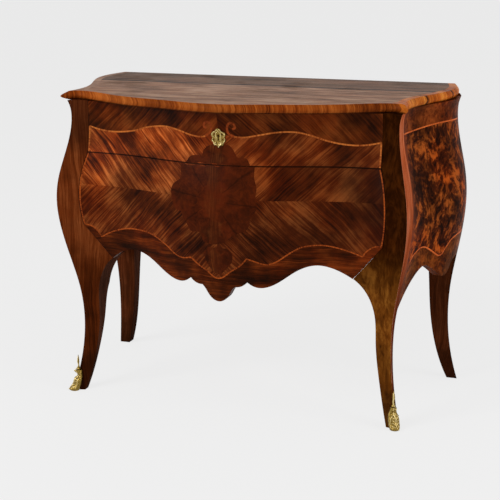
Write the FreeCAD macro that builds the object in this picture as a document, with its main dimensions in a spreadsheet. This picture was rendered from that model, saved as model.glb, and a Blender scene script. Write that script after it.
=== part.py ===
"""Two-drawer bombe commode on cabriole legs, as a parametric FreeCAD document.

Millimetres. +Z is up, the drawers face -Y, and the origin is on the floor under the middle.
The front is one bowed plan curve carried up a swelling profile, and each side is another.
Posts, side panels and drawer fronts are all cut from those two surfaces, so they meet flush.
"""
import FreeCAD, Part
import math
import os
import types

import Sketcher
from FreeCAD import Rotation, Vector

# Driving dimensions: name, millimetres, meaning
SIZES = [
    ("height", 920, "floor to the top's upper face"),
    ("top_thick", 26, "thickness of the top"),
    ("top_back", 300, "back edge of the top, from the middle"),
    ("body_back", 292, "back of the carcase, from the middle"),
    ("ankle_z", 235, "height of the legs' narrowest place"),
    ("belly_z", 605, "height of the widest swell"),
    ("neck_drop", 44, "from the top's underside down to the narrow neck"),
    ("flare", 2.2, "how late the feet and the neck turn out"),
    ("side_foot", 514, "side curve: half width at the floor"),
    ("side_ankle", 486.5, "side curve: half width at the ankle"),
    ("stile_belly", 62, "front posts across at the belly, on the side curve"),
    ("side_neck", 501.5, "side curve: half width at the neck"),
    ("side_top", 510, "side curve: half width under the top"),
    ("side_rear_foot", 522, "side curve of the rear legs at the floor"),
    ("front_foot", 209.5, "front curve: distance forward at the floor"),
    ("front_ankle", 182, "front curve: distance forward at the ankle"),
    ("front_belly", 213.5, "front curve: distance forward at the belly"),
    ("front_neck", 176, "front curve: distance forward at the neck"),
    ("front_top", 178.5, "front curve: distance forward under the top"),
    ("bow", 80, "swell of the front in plan"),
    ("bow_extra", 25, "further swell of the front just under the top"),
    ("bow_half", 420, "half width of the swell"),
    ("corner_dip", 18, "hollow of the front beside the corner"),
    ("corner_start", 450, "where the front turns forward to the corner"),
    ("corner_turn", 0.27, "slope of that turn"),
    ("side_dip", 11, "hollow of the side behind the corner"),
    ("side_dip_y", 93, "that hollow, forward of the middle"),
    ("side_rise", 87, "swell of the side in plan, from the hollow"),
    ("side_peak_y", 188, "widest place of the side, behind the middle"),
    ("side_turn", 0.1, "slope of the side towards the corner"),
    ("front_thick", 32, "thickness of the drawer fronts"),
    ("side_thick", 20, "thickness of the side panels"),
    ("upper_front", 152, "from the top's underside down to the line between the drawers"),
    ("opening_half", 450, "half width of the drawer opening above the seam"),
    ("opening_belly", 472, "half width of the opening at its widest"),
    ("opening_belly_z", 615, "height of that widest place"),
    ("ear_top_x", 462, "upper end of the knee's slanting joint"),
    ("ear_top_z", 525, "height of that end"),
    ("ear_tip_x", 374.5, "lower tip of the knee"),
    ("ear_tip_z", 425, "height of that tip"),
    ("drawer_gap", 1.5, "gap round the drawer fronts"),
    ("knee_x", 407, "inner edge of the front leg under the knee"),
    ("knee_z", 391, "height of that edge"),
    ("calf_width", 58, "front leg across, above the ankle"),
    ("calf_z", 315, "height of that width"),
    ("ankle_width", 50, "front leg across at the ankle"),
    ("foot_width", 35, "front leg across at the floor"),
    ("post_depth_y", 95, "back of the front posts, forward of the middle"),
    ("side_knee_z", 322, "where the side arch leaves the front leg"),
    ("ankle_depth", 59, "front leg front to back at the ankle"),
    ("foot_depth", 31, "front leg front to back at the floor"),
    ("rear_post_y", 215, "front of the rear posts, behind the middle"),
    ("rear_knee_z", 392, "where the side arch meets the rear leg"),
    ("rear_ankle_front", 225, "front of the rear leg at the ankle"),
    ("rear_ankle_back", 265, "back of the rear leg at the ankle"),
    ("rear_foot_front", 266, "front of the rear leg at the floor"),
    ("rear_foot_back", 298, "back of the rear leg at the floor"),
    ("rear_post_x", 490, "inner face of the rear posts"),
    ("rear_ankle_in", 502, "inner edge of the rear leg at the ankle"),
    ("rear_foot_in", 550, "inner edge of the rear leg at the floor"),
    ("rear_calf_z", 440, "where the rear legs start to taper"),
    ("lobe_x", 283, "middle of the apron's side arches"),
    ("lobe_z", 462, "height of those arches"),
    ("swag_x", 132, "lowest place between arch and cusp"),
    ("swag_z", 391.5, "height of that place"),
    ("cusp_x", 87, "the apron's pointed cusps"),
    ("cusp_z", 408, "height of the cusps"),
    ("pendant_half", 50, "half width of the apron's middle drop"),
    ("pendant_shoulder_z", 391, "height where the drop starts"),
    ("pendant_z", 343, "lowest point of the drop"),
    ("apron_shift", -6, "the drop and the cusps stand this far to one side"),
    ("side_arch_y", 18, "top of the side's front arch"),
    ("side_arch_z", 426, "height of the side arches"),
    ("side_drop_y", 112, "lowest place of the side's drop"),
    ("side_drop_z", 373, "height of the side's drop"),
    ("side_rear_arch_y", 178, "top of the side's rear arch"),
    ("side_rear_arch_drop", 5, "rear arch below the front one"),
    ("board_front", 132, "front edge of the inner boards, forward of the middle"),
    ("board_thick", 16, "thickness of the bottom board"),
    ("dust_thick", 12, "thickness of the dust board"),
    ("dust_rise", 6, "dust board's upper face above the seam"),
    ("lower_floor_z", 484, "upper face of the bottom board"),
    ("notch_half", 390, "half width of the bottom board between the front legs"),
    ("slide_gap", 0.4, "running gap under and beside the drawers"),
    ("fit_gap", 0.2, "gap of a piece fitted to a curved one"),
    ("back_thick", 14, "thickness of the back boards"),
    ("back_rebate", 15, "width of the rebate for the back boards"),
    ("back_low_z", 468, "lower edge of the back boards"),
    ("back_joint_drop", 62, "joint between the two back boards, below the seam"),
    ("upper_box_room", 20, "upper drawer's box inside the opening"),
    ("lower_box_room", 50, "lower drawer's box inside the opening"),
    ("box_drop", 14, "drawer sides below the top or the seam"),
    ("drawer_side", 12, "thickness of the drawer sides and backs"),
    ("drawer_end", 256, "back end of the drawers, behind the middle"),
    ("drawer_base", 8, "thickness of the drawer bottoms"),
    ("base_lift", 6, "drawer bottom above the sides' lower edge"),
    ("groove", 6, "depth of the grooves for the drawer bottoms"),
    ("back_drop", 12, "drawer backs below the sides' upper edge"),
    ("guide_width", 16, "width of the drawer guides"),
    ("guide_height", 20, "height of the drawer guides"),
    ("stop_width", 50, "width of the drawer stops"),
    ("stop_height", 18, "height of the drawer stops"),
    ("stop_x", 250, "drawer stops from the middle"),
    ("top_gap", 2, "gap between the upper drawer and the top"),
    ("top_tip_y", 185, "corner tips, forward of the middle"),
    ("top_hollow_x", 509, "hollow of the top's front edge beside the tip"),
    ("top_hollow_y", 167, "that hollow, forward of the middle"),
    ("top_mid_x", 340, "turning place of the top's front edge"),
    ("top_mid_y", 213, "that place, forward of the middle"),
    ("top_quarter_x", 170, "swelling place of the top's front edge"),
    ("top_quarter_y", 264.5, "that place, forward of the middle"),
    ("top_front", 300, "front of the top, forward of the middle"),
    ("top_waist", 508, "half width of the top at its hollow"),
    ("top_swell", 70, "swell of the top's sides"),
    ("rim_width", 30, "width of the top's edge mouldings"),
    ("rim_round", 8, "rounding of the edge mouldings"),
    ("top_joint_y", 103, "joint between the two top boards"),
    ("dowel_round", 5, "radius of the dowels under the top"),
    ("dowel_length", 34, "length of those dowels"),
    ("dowel_front_x", 464, "front dowels from the middle"),
    ("dowel_front_y", 112, "front dowels, forward of the middle"),
    ("dowel_rear_x", 516, "rear dowels from the middle"),
    ("dowel_rear_y", 250, "rear dowels, behind the middle"),
    ("nail_head", 3.5, "radius of the nail heads"),
    ("nail_cap", 1.5, "thickness of the nail heads"),
    ("nail_round", 1.2, "radius of the nails"),
    ("nail_length", 26, "length of the nails under the head"),
    ("nail_inset", 7, "nails from the back boards' ends"),
    ("nail_edge", 40, "nails from the back boards' edges"),
    ("keyhole_drop", 69, "keyhole below the top's underside"),
    ("keyhole_round", 3.5, "radius of the keyhole"),
    ("keyhole_slot", 14, "length of the keyhole's slot"),
    ("keyhole_slot_width", 3.4, "width of the keyhole's slot"),
    ("lock_set", 9, "lock behind the front's outer face"),
    ("lock_width", 70, "width of the lock case"),
    ("lock_thick", 14, "thickness of the lock case"),
    ("lock_below", 26, "lock case below the keyhole"),
    ("bolt_width", 24, "width of the lock bolt"),
    ("bolt_thick", 7, "thickness of the lock bolt"),
    ("bolt_length", 38, "length of the lock bolt"),
    ("bolt_inset", 4, "lock bolt behind the case's front face"),
    ("bolt_travel", 8, "travel of the lock bolt"),
    ("bolt_sink", 1, "bolt below the drawer's upper edge at rest"),
    ("mortise_room", 4, "room round the bolt in the top"),
    ("screw_head", 4, "radius of the lock screws' heads"),
    ("screw_cap", 2, "height of the lock screws' heads"),
    ("screw_round", 1.7, "radius of the lock screws"),
    ("screw_length", 18, "length of the lock screws under the head"),
    ("screw_inset", 7, "lock screws from the case's edges"),
    ("plate_width", 43, "width of the escutcheon"),
    ("plate_height", 55, "height of the escutcheon"),
    ("plate_thick", 2.4, "thickness of the escutcheon"),
    ("plate_drop", 7, "escutcheon's middle below the keyhole"),
    ("pierce_round", 2.3, "radius of the escutcheon's piercings"),
    ("pin_head", 1.7, "radius of the brass pins' heads"),
    ("pin_cap", 1.2, "height of the brass pins' heads"),
    ("pin_round", 0.7, "radius of the brass pins"),
    ("pin_length", 9, "length of the brass pins under the head"),
    ("sabot_height", 110, "height of the gilt feet"),
    ("sabot_body", 60, "height of their shell"),
    ("sabot_half", 17, "shell to each side of its middle line"),
    ("sabot_inset", 3, "shell's middle line from the leg's corner, at its top"),
    ("sabot_lean", 6, "further from the corner at the floor"),
    ("sabot_swell", 10, "shell in front of its middle line"),
    ("sabot_toe", 22, "toe in front of the shell's middle line"),
    ("sabot_collar", 7, "half width of the collar over the shell"),
    ("sabot_stem", 2.2, "radius of the stem over the collar"),
    ("sabot_leaf", 4.8, "half width of the leaf on the stem"),
    ("sabot_lift", 0.5, "gilt feet above the floor"),
    ("sabot_pin_in", 9, "pins of the gilt feet from the shell's middle line"),
    ("sabot_pin_length", 18, "length of those pins under the head"),
]

# Dimensions that follow from others: name, formula, meaning
TIED = [
    ("body_top", "height - top_thick", "top of the carcase"),
    ("seam_z", "body_top - upper_front", "line between the two drawers"),
    ("back_joint_z", "seam_z - back_joint_drop", "joint between the two back boards"),
    ("side_belly", "opening_belly + stile_belly", "side curve: half width at the belly"),
    ("upper_box_half", "opening_half - upper_box_room", "half width of the upper drawer's box"),
    ("lower_box_half", "opening_half - lower_box_room", "half width of the lower drawer's box"),
    ("upper_box_top", "body_top - box_drop", "upper edge of the upper drawer's sides"),
    ("lower_box_top", "seam_z - box_drop", "upper edge of the lower drawer's sides"),
]

doc = FreeCAD.newDocument("bombe_commode")
sheet = doc.addObject("Spreadsheet::Sheet", "sizes")
ROWS = SIZES + [(name, "=" + formula, meaning) for name, formula, meaning in TIED]
for row, (name, number, meaning) in enumerate(ROWS, start=1):
    sheet.set(f"A{row}", name)
    sheet.set(f"B{row}", str(number))
    sheet.set(f"C{row}", meaning)
    sheet.setAlias(f"B{row}", name)
doc.recompute()

# Lengths read back from the sheet, for shapes made by formula
d = types.SimpleNamespace(**{name: float(sheet.get(name)) for name, _, _ in ROWS})
body_top = d.body_top
neck_z = body_top - d.neck_drop
drawer_top = body_top - d.top_gap
keyhole_z = body_top - d.keyhole_drop
reach = d.height

nodes = {}


def keep(label, piece):
    """Give a finished piece its node's name and list it for export."""
    piece.Label = label
    nodes[label] = piece
    return piece


def bind(piece, **formulas):
    """Tie properties of a piece to formulas on the sheet."""
    for prop, formula in formulas.items():
        piece.setExpression(prop.replace("__", "."), formula)
    return piece


def solid(name, shape):
    """Put a shape made by formula into the document."""
    feature = doc.addObject("Part::Feature", name)
    feature.Shape = shape
    return feature


def common(name, first, *others):
    """Keep what all these pieces share."""
    result = first
    for other in others:
        joint = doc.addObject("Part::Common", name)
        joint.Base = result
        joint.Tool = other
        result = joint
    return result


def cut(name, first, *others):
    """Take the other pieces out of the first one."""
    result = first
    for other in others:
        joint = doc.addObject("Part::Cut", name)
        joint.Base = result
        joint.Tool = other
        result = joint
    return result


def mirrored(name, source):
    """The same piece on the left side."""
    mirror = doc.addObject("Part::Mirroring", name)
    mirror.Source = source
    mirror.Normal = Vector(1, 0, 0)
    return mirror


def box(name, corner, lengths):
    """A board whose corner and lengths are formulas on the sheet."""
    board = doc.addObject("Part::Box", name)
    for axis, formula in zip("xyz", corner):
        board.setExpression(f"Placement.Base.{axis}", formula)
    for prop, formula in zip(("Length", "Width", "Height"), lengths):
        board.setExpression(prop, formula)
    return board


def cosine(share):
    """Ease from 0 to 1."""
    return (1 - math.cos(math.pi * share)) / 2


def smooth(points):
    """A smooth curve through the points."""
    curve = Part.BSplineCurve()
    curve.interpolate(points)
    return curve


# Outlines: two points make a line, three an arc, more a smooth curve
PLANES = {
    "XY": lambda u, v, level: Vector(u, v, level),
    "XZ": lambda u, v, level: Vector(u, level, v),
    "YZ": lambda u, v, level: Vector(level, u, v),
}


def outline_face(stretches, plane, level):
    """A face bounded by the stretches, each a list of points in the plane."""
    edges = []
    for stretch in stretches:
        points = [PLANES[plane](u, v, level) for u, v in stretch]
        if len(points) == 2:
            edges.append(Part.LineSegment(*points).toShape())
        elif len(points) == 3:
            edges.append(Part.Arc(*points).toShape())
        else:
            edges.append(smooth(points).toShape())
    return Part.Face(Part.Wire(edges))


def template(name, stretches, plane):
    """A sawing template: its outline carried right through the chest."""
    axis = {"XZ": Vector(0, 1, 0), "YZ": Vector(1, 0, 0)}[plane]
    face = solid(name + "_outline", outline_face(stretches, plane, -reach))
    prism = doc.addObject("Part::Extrusion", name)
    prism.Base = face
    prism.DirMode = "Custom"
    prism.Dir = axis
    prism.Solid = True
    prism.setExpression("LengthFwd", "2 * sizes.height")
    return prism


def plate(name, corners, base, thickness):
    """A flat board: a polygon whose corners are formulas, padded upwards."""
    body = doc.addObject("PartDesign::Body", name)
    sketch = body.newObject("Sketcher::SketchObject", name + "_outline")
    ground = [item for item in body.Origin.OriginFeatures if item.Role == "XY_Plane"][0]
    sketch.AttachmentSupport = [(ground, "")]
    sketch.MapMode = "FlatFace"
    sketch.setExpression("AttachmentOffset.Base.z", base)
    points = [Vector(*(float(sheet.evalExpression(formula)) for formula in corner), 0)
              for corner in corners]
    count = len(points)
    for index in range(count):
        sketch.addGeometry(Part.LineSegment(points[index], points[(index + 1) % count]))
    for index in range(count):
        following = (index + 1) % count
        sketch.addConstraint(Sketcher.Constraint("Coincident", index, 2, following, 1))
    for index, (corner, point) in enumerate(zip(corners, points)):
        for kind, formula, value in zip(("DistanceX", "DistanceY"), corner, (point.x, point.y)):
            number = sketch.addConstraint(Sketcher.Constraint(kind, -1, 1, index, 1, value))
            sketch.setExpression(f"Constraints[{number}]", formula)
    pad = body.newObject("PartDesign::Pad", name + "_pad")
    pad.Profile = sketch
    pad.setExpression("Length", thickness)
    return body


def turned(name, stations):
    """A round piece: half its section as (radius, height) formulas, turned about Z."""
    body = doc.addObject("PartDesign::Body", name)
    sketch = body.newObject("Sketcher::SketchObject", name + "_section")
    upright = [item for item in body.Origin.OriginFeatures if item.Role == "XZ_Plane"][0]
    sketch.AttachmentSupport = [(upright, "")]
    sketch.MapMode = "FlatFace"
    points = [Vector(*(float(sheet.evalExpression(formula)) for formula in station), 0)
              for station in stations]
    count = len(points)
    for index in range(count):
        sketch.addGeometry(Part.LineSegment(points[index], points[(index + 1) % count]))
    for index in range(count):
        following = (index + 1) % count
        sketch.addConstraint(Sketcher.Constraint("Coincident", index, 2, following, 1))
    for index, (station, point) in enumerate(zip(stations, points)):
        for kind, formula, value in zip(("DistanceX", "DistanceY"), station, (point.x, point.y)):
            number = sketch.addConstraint(Sketcher.Constraint(kind, -1, 1, index, 1, value))
            sketch.setExpression(f"Constraints[{number}]", formula)
    turn = body.newObject("PartDesign::Revolution", name + "_turn")
    turn.Profile = sketch
    turn.ReferenceAxis = (sketch, ["V_Axis"])
    turn.Angle = 360
    return body


def group(name, master, placements):
    """Copies of one small piece, as one group of separate solids."""
    doc.recompute()
    copies = []
    for placement in placements:
        copy = master.Shape.copy()
        copy.Placement = placement.multiply(copy.Placement)
        copies.append(copy)
    return solid(name, Part.makeCompound(copies))


# The two bombe surfaces


def profile(foot, ankle, belly, neck, top):
    """Heights and offsets up the bombe curve, from under the floor to over the carcase."""
    stations = [(share * d.ankle_z, ankle + (1 - share) ** d.flare * (foot - ankle))
                for share in (-1 / 8, 0, 1 / 2)]
    for low, high, start, end in ((d.ankle_z, d.belly_z, ankle, belly), (d.belly_z, neck_z, belly, neck)):
        for quarter in range(4):
            share = quarter / 4
            stations.append((low + share * (high - low), start + cosine(share) * (end - start)))
    stations += [(neck_z + share * d.neck_drop, neck + share ** d.flare * (top - neck))
                 for share in (0, 1 / 2, 1, 5 / 4)]
    return stations


def swell_at(z):
    """How much of the plan's bow the front has at a height."""
    rise = max(0, (z - d.seam_z) / (body_top - d.seam_z))
    return 1 + d.bow_extra / d.bow * rise ** 2


def carried(plan, section, pole):
    """The surface that a plan curve sweeps as a section curve carries it."""
    surface = Part.BSplineSurface()
    surface.buildFromPolesMultsKnots(
        [[pole(p, q) for q in section.getPoles()] for p in plan.getPoles()],
        plan.getMultiplicities(), section.getMultiplicities(),
        plan.getKnots(), section.getKnots(), False, False, plan.Degree, section.Degree)
    return surface.toShape()


def front_surface():
    """The drawers' and front legs' outer face."""
    half = [(d.bow_half * step / 5, d.bow * cosine(1 - step / 5), d.corner_dip) for step in range(6)]
    for beyond in (0, 0.5, 1, 2):
        x = d.corner_start + beyond * (d.side_belly - d.corner_start)
        half.append((x, 0, d.corner_dip - d.corner_turn * (x - d.corner_start)))
    points = [Vector(-x, bow, back) for x, bow, back in half[:0:-1]]
    points += [Vector(x, bow, back) for x, bow, back in half]
    stations = profile(d.front_foot, d.front_ankle, d.front_belly, d.front_neck, d.front_top)
    section = smooth([Vector(swell_at(z), forward, z) for z, forward in stations])
    return carried(smooth(points), section,
                   lambda p, q: Vector(p.x, p.z - q.y - q.x * p.y, q.z))


def side_surface(foot):
    """The right side's outer face, for legs that reach this far out at the floor."""
    points = []
    for beyond in (1.6, 1, 0.5):
        run = beyond * (d.front_belly - d.side_dip_y)
        points.append(Vector(0, -d.side_dip_y - run, d.side_turn * run - d.side_dip))
    span = d.side_dip_y + d.side_peak_y
    for step in range(7):
        share = step / 4
        points.append(Vector(0, share * span - d.side_dip_y, d.side_rise * cosine(share) - d.side_dip))
    stations = profile(foot, d.side_ankle, d.side_belly, d.side_neck, d.side_top)
    section = smooth([Vector(out, 0, z) for z, out in stations])
    return carried(smooth(points), section, lambda p, q: Vector(q.x + p.z, p.y, q.z))


def touch(face, start, way):
    """The point where a straight line from start meets a face."""
    line = Part.LineSegment(start, start + way * (2 * reach)).toShape()
    return face.distToShape(line)[1][0][0]


front_face = front_surface()
side_face = side_surface(d.side_foot)
rear_side_face = side_surface(d.side_rear_foot)
inward = Vector(-1, 0, 0)
backward = Vector(0, 1, 0)
forward_start = Vector(0, -reach, 0)

front_form = solid("front_form", front_face.extrude(backward * reach))
side_form = solid("side_form", side_face.extrude(inward * 2 * reach))
rear_side_form = solid("rear_side_form", rear_side_face.extrude(inward * reach))
front_shell = solid("front_shell", front_face.extrude(backward * d.front_thick))
side_shell = solid("side_shell", side_face.extrude(inward * d.side_thick))


def behind_front(name, formula):
    """The room behind the front surface, set back by a formula."""
    form = solid(name, front_form.Shape.copy())
    return bind(form, Placement__Base__y=formula)


drawer_room = behind_front("drawer_room", "sizes.front_thick")
groove_room = behind_front("groove_room", "sizes.front_thick - sizes.groove")

right_room = solid("right_room", side_form.Shape.copy())
bind(right_room, Placement__Base__x="-sizes.side_thick - sizes.fit_gap")
left_room = mirrored("left_room", right_room)

# Front posts with their legs


def side_at(z):
    """The side curve's half width at a height."""
    return touch(side_face, Vector(-reach, -d.side_dip_y, z), Vector(1, 0, 0)).x + d.side_dip


def leg_inner_edge():
    """The front leg's inner edge in front view, from the knee's tip to the floor."""
    shin_z = 0.55 * d.ankle_z
    shin_width = (d.ankle_width + d.foot_width) / 2
    return [
        (d.ear_tip_x, d.ear_tip_z),
        (d.knee_x, d.knee_z),
        (side_at(d.calf_z) - d.calf_width, d.calf_z),
        (d.side_ankle - d.ankle_width, d.ankle_z),
        (side_at(shin_z) - shin_width, shin_z),
        (d.side_foot - d.foot_width, 0),
    ]


opening_edge = [
    (d.opening_half, d.seam_z),
    (d.opening_belly, d.opening_belly_z),
    (d.ear_top_x, d.ear_top_z),
]
knee_joint = [(d.ear_top_x, d.ear_top_z), (d.ear_tip_x, d.ear_tip_z)]

post_front = template("post_front", [
    [(d.opening_half, body_top), (d.opening_half, d.seam_z)],
    opening_edge,
    knee_joint,
    leg_inner_edge(),
    [(d.side_foot - d.foot_width, 0), (reach, 0)],
    [(reach, 0), (reach, body_top)],
    [(reach, body_top), (d.opening_half, body_top)],
], "XZ")

leg_back_edge = [
    (-d.post_depth_y, d.side_knee_z),
    (0.55 * (d.ankle_depth - d.front_ankle) - 0.45 * d.post_depth_y,
     0.55 * d.side_knee_z + 0.45 * d.ankle_z),
    (d.ankle_depth - d.front_ankle, d.ankle_z),
    (0.55 * (d.ankle_depth - d.front_ankle) + 0.45 * (d.foot_depth - d.front_foot), d.ankle_z / 2),
    (d.foot_depth - d.front_foot, 0),
]
post_side = template("post_side", [
    [(-d.post_depth_y, body_top), (-d.post_depth_y, d.side_knee_z)],
    leg_back_edge,
    [(d.foot_depth - d.front_foot, 0), (-reach, 0)],
    [(-reach, 0), (-reach, body_top)],
    [(-reach, body_top), (-d.post_depth_y, body_top)],
], "YZ")

front_post = common("front_post", front_form, side_form, post_front, post_side)

# Rear posts with their legs

rear_leg_front = [
    (d.rear_post_y, d.rear_knee_z),
    (0.4 * d.rear_post_y + 0.6 * d.rear_ankle_front, 0.5 * d.rear_knee_z + 0.5 * d.ankle_z),
    (d.rear_ankle_front, d.ankle_z),
    (0.62 * d.rear_ankle_front + 0.38 * d.rear_foot_front, 0.43 * d.ankle_z),
    (d.rear_foot_front, 0),
]
rear_leg_back = [
    (d.rear_foot_back, 0),
    (0.62 * d.rear_ankle_back + 0.38 * d.rear_foot_back, 0.43 * d.ankle_z),
    (d.rear_ankle_back, d.ankle_z),
    (0.6 * d.rear_ankle_back + 0.4 * d.body_back, 0.5 * d.ankle_z + 0.5 * d.rear_calf_z),
    (d.body_back, d.rear_calf_z),
]
rear_side = template("rear_side", [
    [(d.rear_post_y, body_top), (d.rear_post_y, d.rear_knee_z)],
    rear_leg_front,
    [(d.rear_foot_front, 0), (d.rear_foot_back, 0)],
    rear_leg_back,
    [(d.body_back, d.rear_calf_z), (d.body_back, body_top)],
    [(d.body_back, body_top), (d.rear_post_y, body_top)],
], "YZ")
rear_leg_inner = [
    (d.rear_post_x, d.rear_calf_z),
    (0.35 * d.rear_post_x + 0.65 * d.rear_ankle_in, 0.5 * d.rear_calf_z + 0.5 * d.ankle_z),
    (d.rear_ankle_in, d.ankle_z),
    (0.62 * d.rear_ankle_in + 0.38 * d.rear_foot_in, 0.43 * d.ankle_z),
    (d.rear_foot_in, 0),
]
rear_front = template("rear_front", [
    [(d.rear_post_x, body_top), (d.rear_post_x, d.rear_calf_z)],
    rear_leg_inner,
    [(d.rear_foot_in, 0), (reach, 0)],
    [(reach, 0), (reach, body_top)],
    [(reach, body_top), (d.rear_post_x, body_top)],
], "XZ")

rear_post = common("rear_post", rear_side_form, rear_side, rear_front)

# Back boards, let into the rear posts and nailed

BACK_Y = "sizes.body_back - sizes.back_thick"
BACK_HALF = "sizes.rear_post_x + sizes.back_rebate"
BODY_TOP = "sizes.body_top"
lower_back = box(
    "lower_back_blank", (f"-({BACK_HALF})", BACK_Y, "sizes.back_low_z"),
    (f"2 * ({BACK_HALF})", "sizes.back_thick", "sizes.back_joint_z - sizes.back_low_z"))
upper_back = box(
    "upper_back_blank", (f"-({BACK_HALF})", BACK_Y, "sizes.back_joint_z"),
    (f"2 * ({BACK_HALF})", "sizes.back_thick", f"{BODY_TOP} - sizes.back_joint_z"))

# Small round fasteners, made once and copied

nail = turned("nail", [
    ("0", "-sizes.nail_length"), ("sizes.nail_round", "-sizes.nail_length"),
    ("sizes.nail_round", "0"), ("sizes.nail_head", "0"),
    ("sizes.nail_head", "sizes.nail_cap"), ("0", "sizes.nail_cap")])
screw = turned("screw", [
    ("0", "-sizes.screw_length"), ("sizes.screw_round", "-sizes.screw_length + sizes.screw_round"),
    ("sizes.screw_round", "0"), ("sizes.screw_head", "0"),
    ("sizes.screw_head * 0.7", "sizes.screw_cap"), ("0", "sizes.screw_cap")])
pin = turned("pin", [
    ("0", "-sizes.pin_length"), ("sizes.pin_round", "-sizes.pin_length"),
    ("sizes.pin_round", "0"), ("sizes.pin_head", "0"),
    ("sizes.pin_head * 0.6", "sizes.pin_cap"), ("0", "sizes.pin_cap")])
dowel = turned("dowel", [
    ("0", "-sizes.dowel_length / 2"), ("sizes.dowel_round", "-sizes.dowel_length / 2"),
    ("sizes.dowel_round", "sizes.dowel_length / 2"), ("0", "sizes.dowel_length / 2")])

TO_FRONT = Rotation(Vector(0, 0, 1), Vector(0, -1, 0))
TO_BACK = Rotation(Vector(0, 0, 1), Vector(0, 1, 0))
TO_RIGHT = Rotation(Vector(0, 0, 1), Vector(1, 0, 0))
TO_LEFT = Rotation(Vector(0, 0, 1), Vector(-1, 0, 0))
UPRIGHT = Rotation()

nail_x = d.rear_post_x + d.back_rebate - d.nail_inset
nail_heights = [
    d.back_low_z + d.nail_edge, d.back_joint_z - d.nail_edge,
    d.back_joint_z + d.nail_edge, body_top - d.nail_edge]
back_nails = keep("back_nails", group("back_nails", nail, [
    FreeCAD.Placement(Vector(side * nail_x, d.body_back, z), TO_BACK)
    for side in (-1, 1) for z in nail_heights]))
keep("lower_back_board", cut("lower_back_board", lower_back, back_nails))
keep("upper_back_board", cut("upper_back_board", upper_back, back_nails))

dowel_places = [(d.dowel_front_x, -d.dowel_front_y), (d.dowel_rear_x, d.dowel_rear_y)]
top_dowels = keep("top_dowels", group("top_dowels", dowel, [
    FreeCAD.Placement(Vector(side * x, y, body_top), UPRIGHT)
    for side in (-1, 1) for x, y in dowel_places]))

keep("rear_right_post", cut("rear_right_post", rear_post, lower_back, upper_back, back_nails, top_dowels))
keep("rear_left_post", mirrored("rear_left_post", nodes["rear_right_post"]))

# Side panels with the scalloped lower edge

side_scallop_rear = [
    (d.rear_post_y, d.rear_knee_z),
    (0.5 * d.rear_post_y + 0.5 * d.side_rear_arch_y, 0.25 * d.rear_knee_z + 0.75 * d.side_arch_z),
    (d.side_rear_arch_y, d.side_arch_z - d.side_rear_arch_drop),
    (0.65 * d.side_rear_arch_y + 0.35 * d.side_drop_y, 0.7 * d.side_arch_z + 0.3 * d.side_drop_z),
    (0.35 * d.side_rear_arch_y + 0.65 * d.side_drop_y, 0.1 * d.side_arch_z + 0.9 * d.side_drop_z),
    (d.side_drop_y, d.side_drop_z),
]
side_scallop_front = [
    (d.side_drop_y, d.side_drop_z),
    (0.6 * d.side_drop_y + 0.4 * d.side_arch_y, 0.6 * d.side_drop_z + 0.4 * d.side_arch_z),
    (0.25 * d.side_drop_y + 0.75 * d.side_arch_y, 0.17 * d.side_drop_z + 0.83 * d.side_arch_z),
    (d.side_arch_y, d.side_arch_z),
    (0.72 * d.side_arch_y - 0.28 * d.post_depth_y, 0.82 * d.side_arch_z + 0.18 * d.side_knee_z),
    (0.38 * d.side_arch_y - 0.62 * d.post_depth_y, 0.4 * d.side_arch_z + 0.6 * d.side_knee_z),
    (-d.post_depth_y, d.side_knee_z),
]
panel_outline = template("panel_outline", [
    [(-d.post_depth_y, body_top), (d.rear_post_y, body_top)],
    [(d.rear_post_y, body_top), (d.rear_post_y, d.rear_knee_z)],
    side_scallop_rear,
    side_scallop_front,
    [(-d.post_depth_y, d.side_knee_z), (-d.post_depth_y, body_top)],
], "YZ")
keep("right_side_panel", common("right_side_panel", side_shell, panel_outline))
keep("left_side_panel", mirrored("left_side_panel", nodes["right_side_panel"]))

# Bottom board and dust board, notched round the posts and scribed to the sides


def inner_board(label, front_half, base, thickness):
    """A board across the chest, from its front edge to the back boards."""
    wide = "sizes.side_belly + sizes.side_rise"
    right = [
        (front_half, "-sizes.board_front"),
        (front_half, "-sizes.post_depth_y"),
        (wide, "-sizes.post_depth_y"),
        (wide, "sizes.rear_post_y"),
        ("sizes.rear_post_x", "sizes.rear_post_y"),
        ("sizes.rear_post_x", BACK_Y),
    ]
    left = [(f"-({x})", y) for x, y in reversed(right)]
    blank = plate(label + "_blank", right + left, base, thickness)
    return keep(label, common(label, blank, right_room, left_room))


inner_board("bottom_board", "sizes.notch_half",
            "sizes.lower_floor_z - sizes.board_thick", "sizes.board_thick")
inner_board("dust_board", "sizes.opening_half - sizes.drawer_gap",
            "sizes.seam_z + sizes.dust_rise - sizes.dust_thick", "sizes.dust_thick")

# Drawer guides and stops on those boards

DUST_TOP = "sizes.seam_z + sizes.dust_rise"
for storey, half, floor in (("upper", "sizes.upper_box_half", DUST_TOP),
                            ("lower", "sizes.lower_box_half", "sizes.lower_floor_z")):
    start = f"{half} + sizes.slide_gap"
    run = f"{BACK_Y} + sizes.post_depth_y"
    for hand, x in (("right", start), ("left", f"-({start}) - sizes.guide_width")):
        keep(f"{storey}_{hand}_guide", box(
            f"{storey}_{hand}_guide", (x, "-sizes.post_depth_y", floor),
            ("sizes.guide_width", run, "sizes.guide_height")))
    blocks = [box(f"{storey}_stop", (f"{side} * sizes.stop_x - sizes.stop_width / 2",
                                     "sizes.drawer_end + sizes.slide_gap", floor),
                  ("sizes.stop_width", f"{BACK_Y} - sizes.drawer_end - sizes.slide_gap",
                   "sizes.stop_height"))
              for side in (-1, 1)]
    stops = doc.addObject("Part::Compound", f"{storey}_stops")
    stops.Links = blocks
    keep(f"{storey}_drawer_stops", stops)

# Drawer boxes


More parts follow.
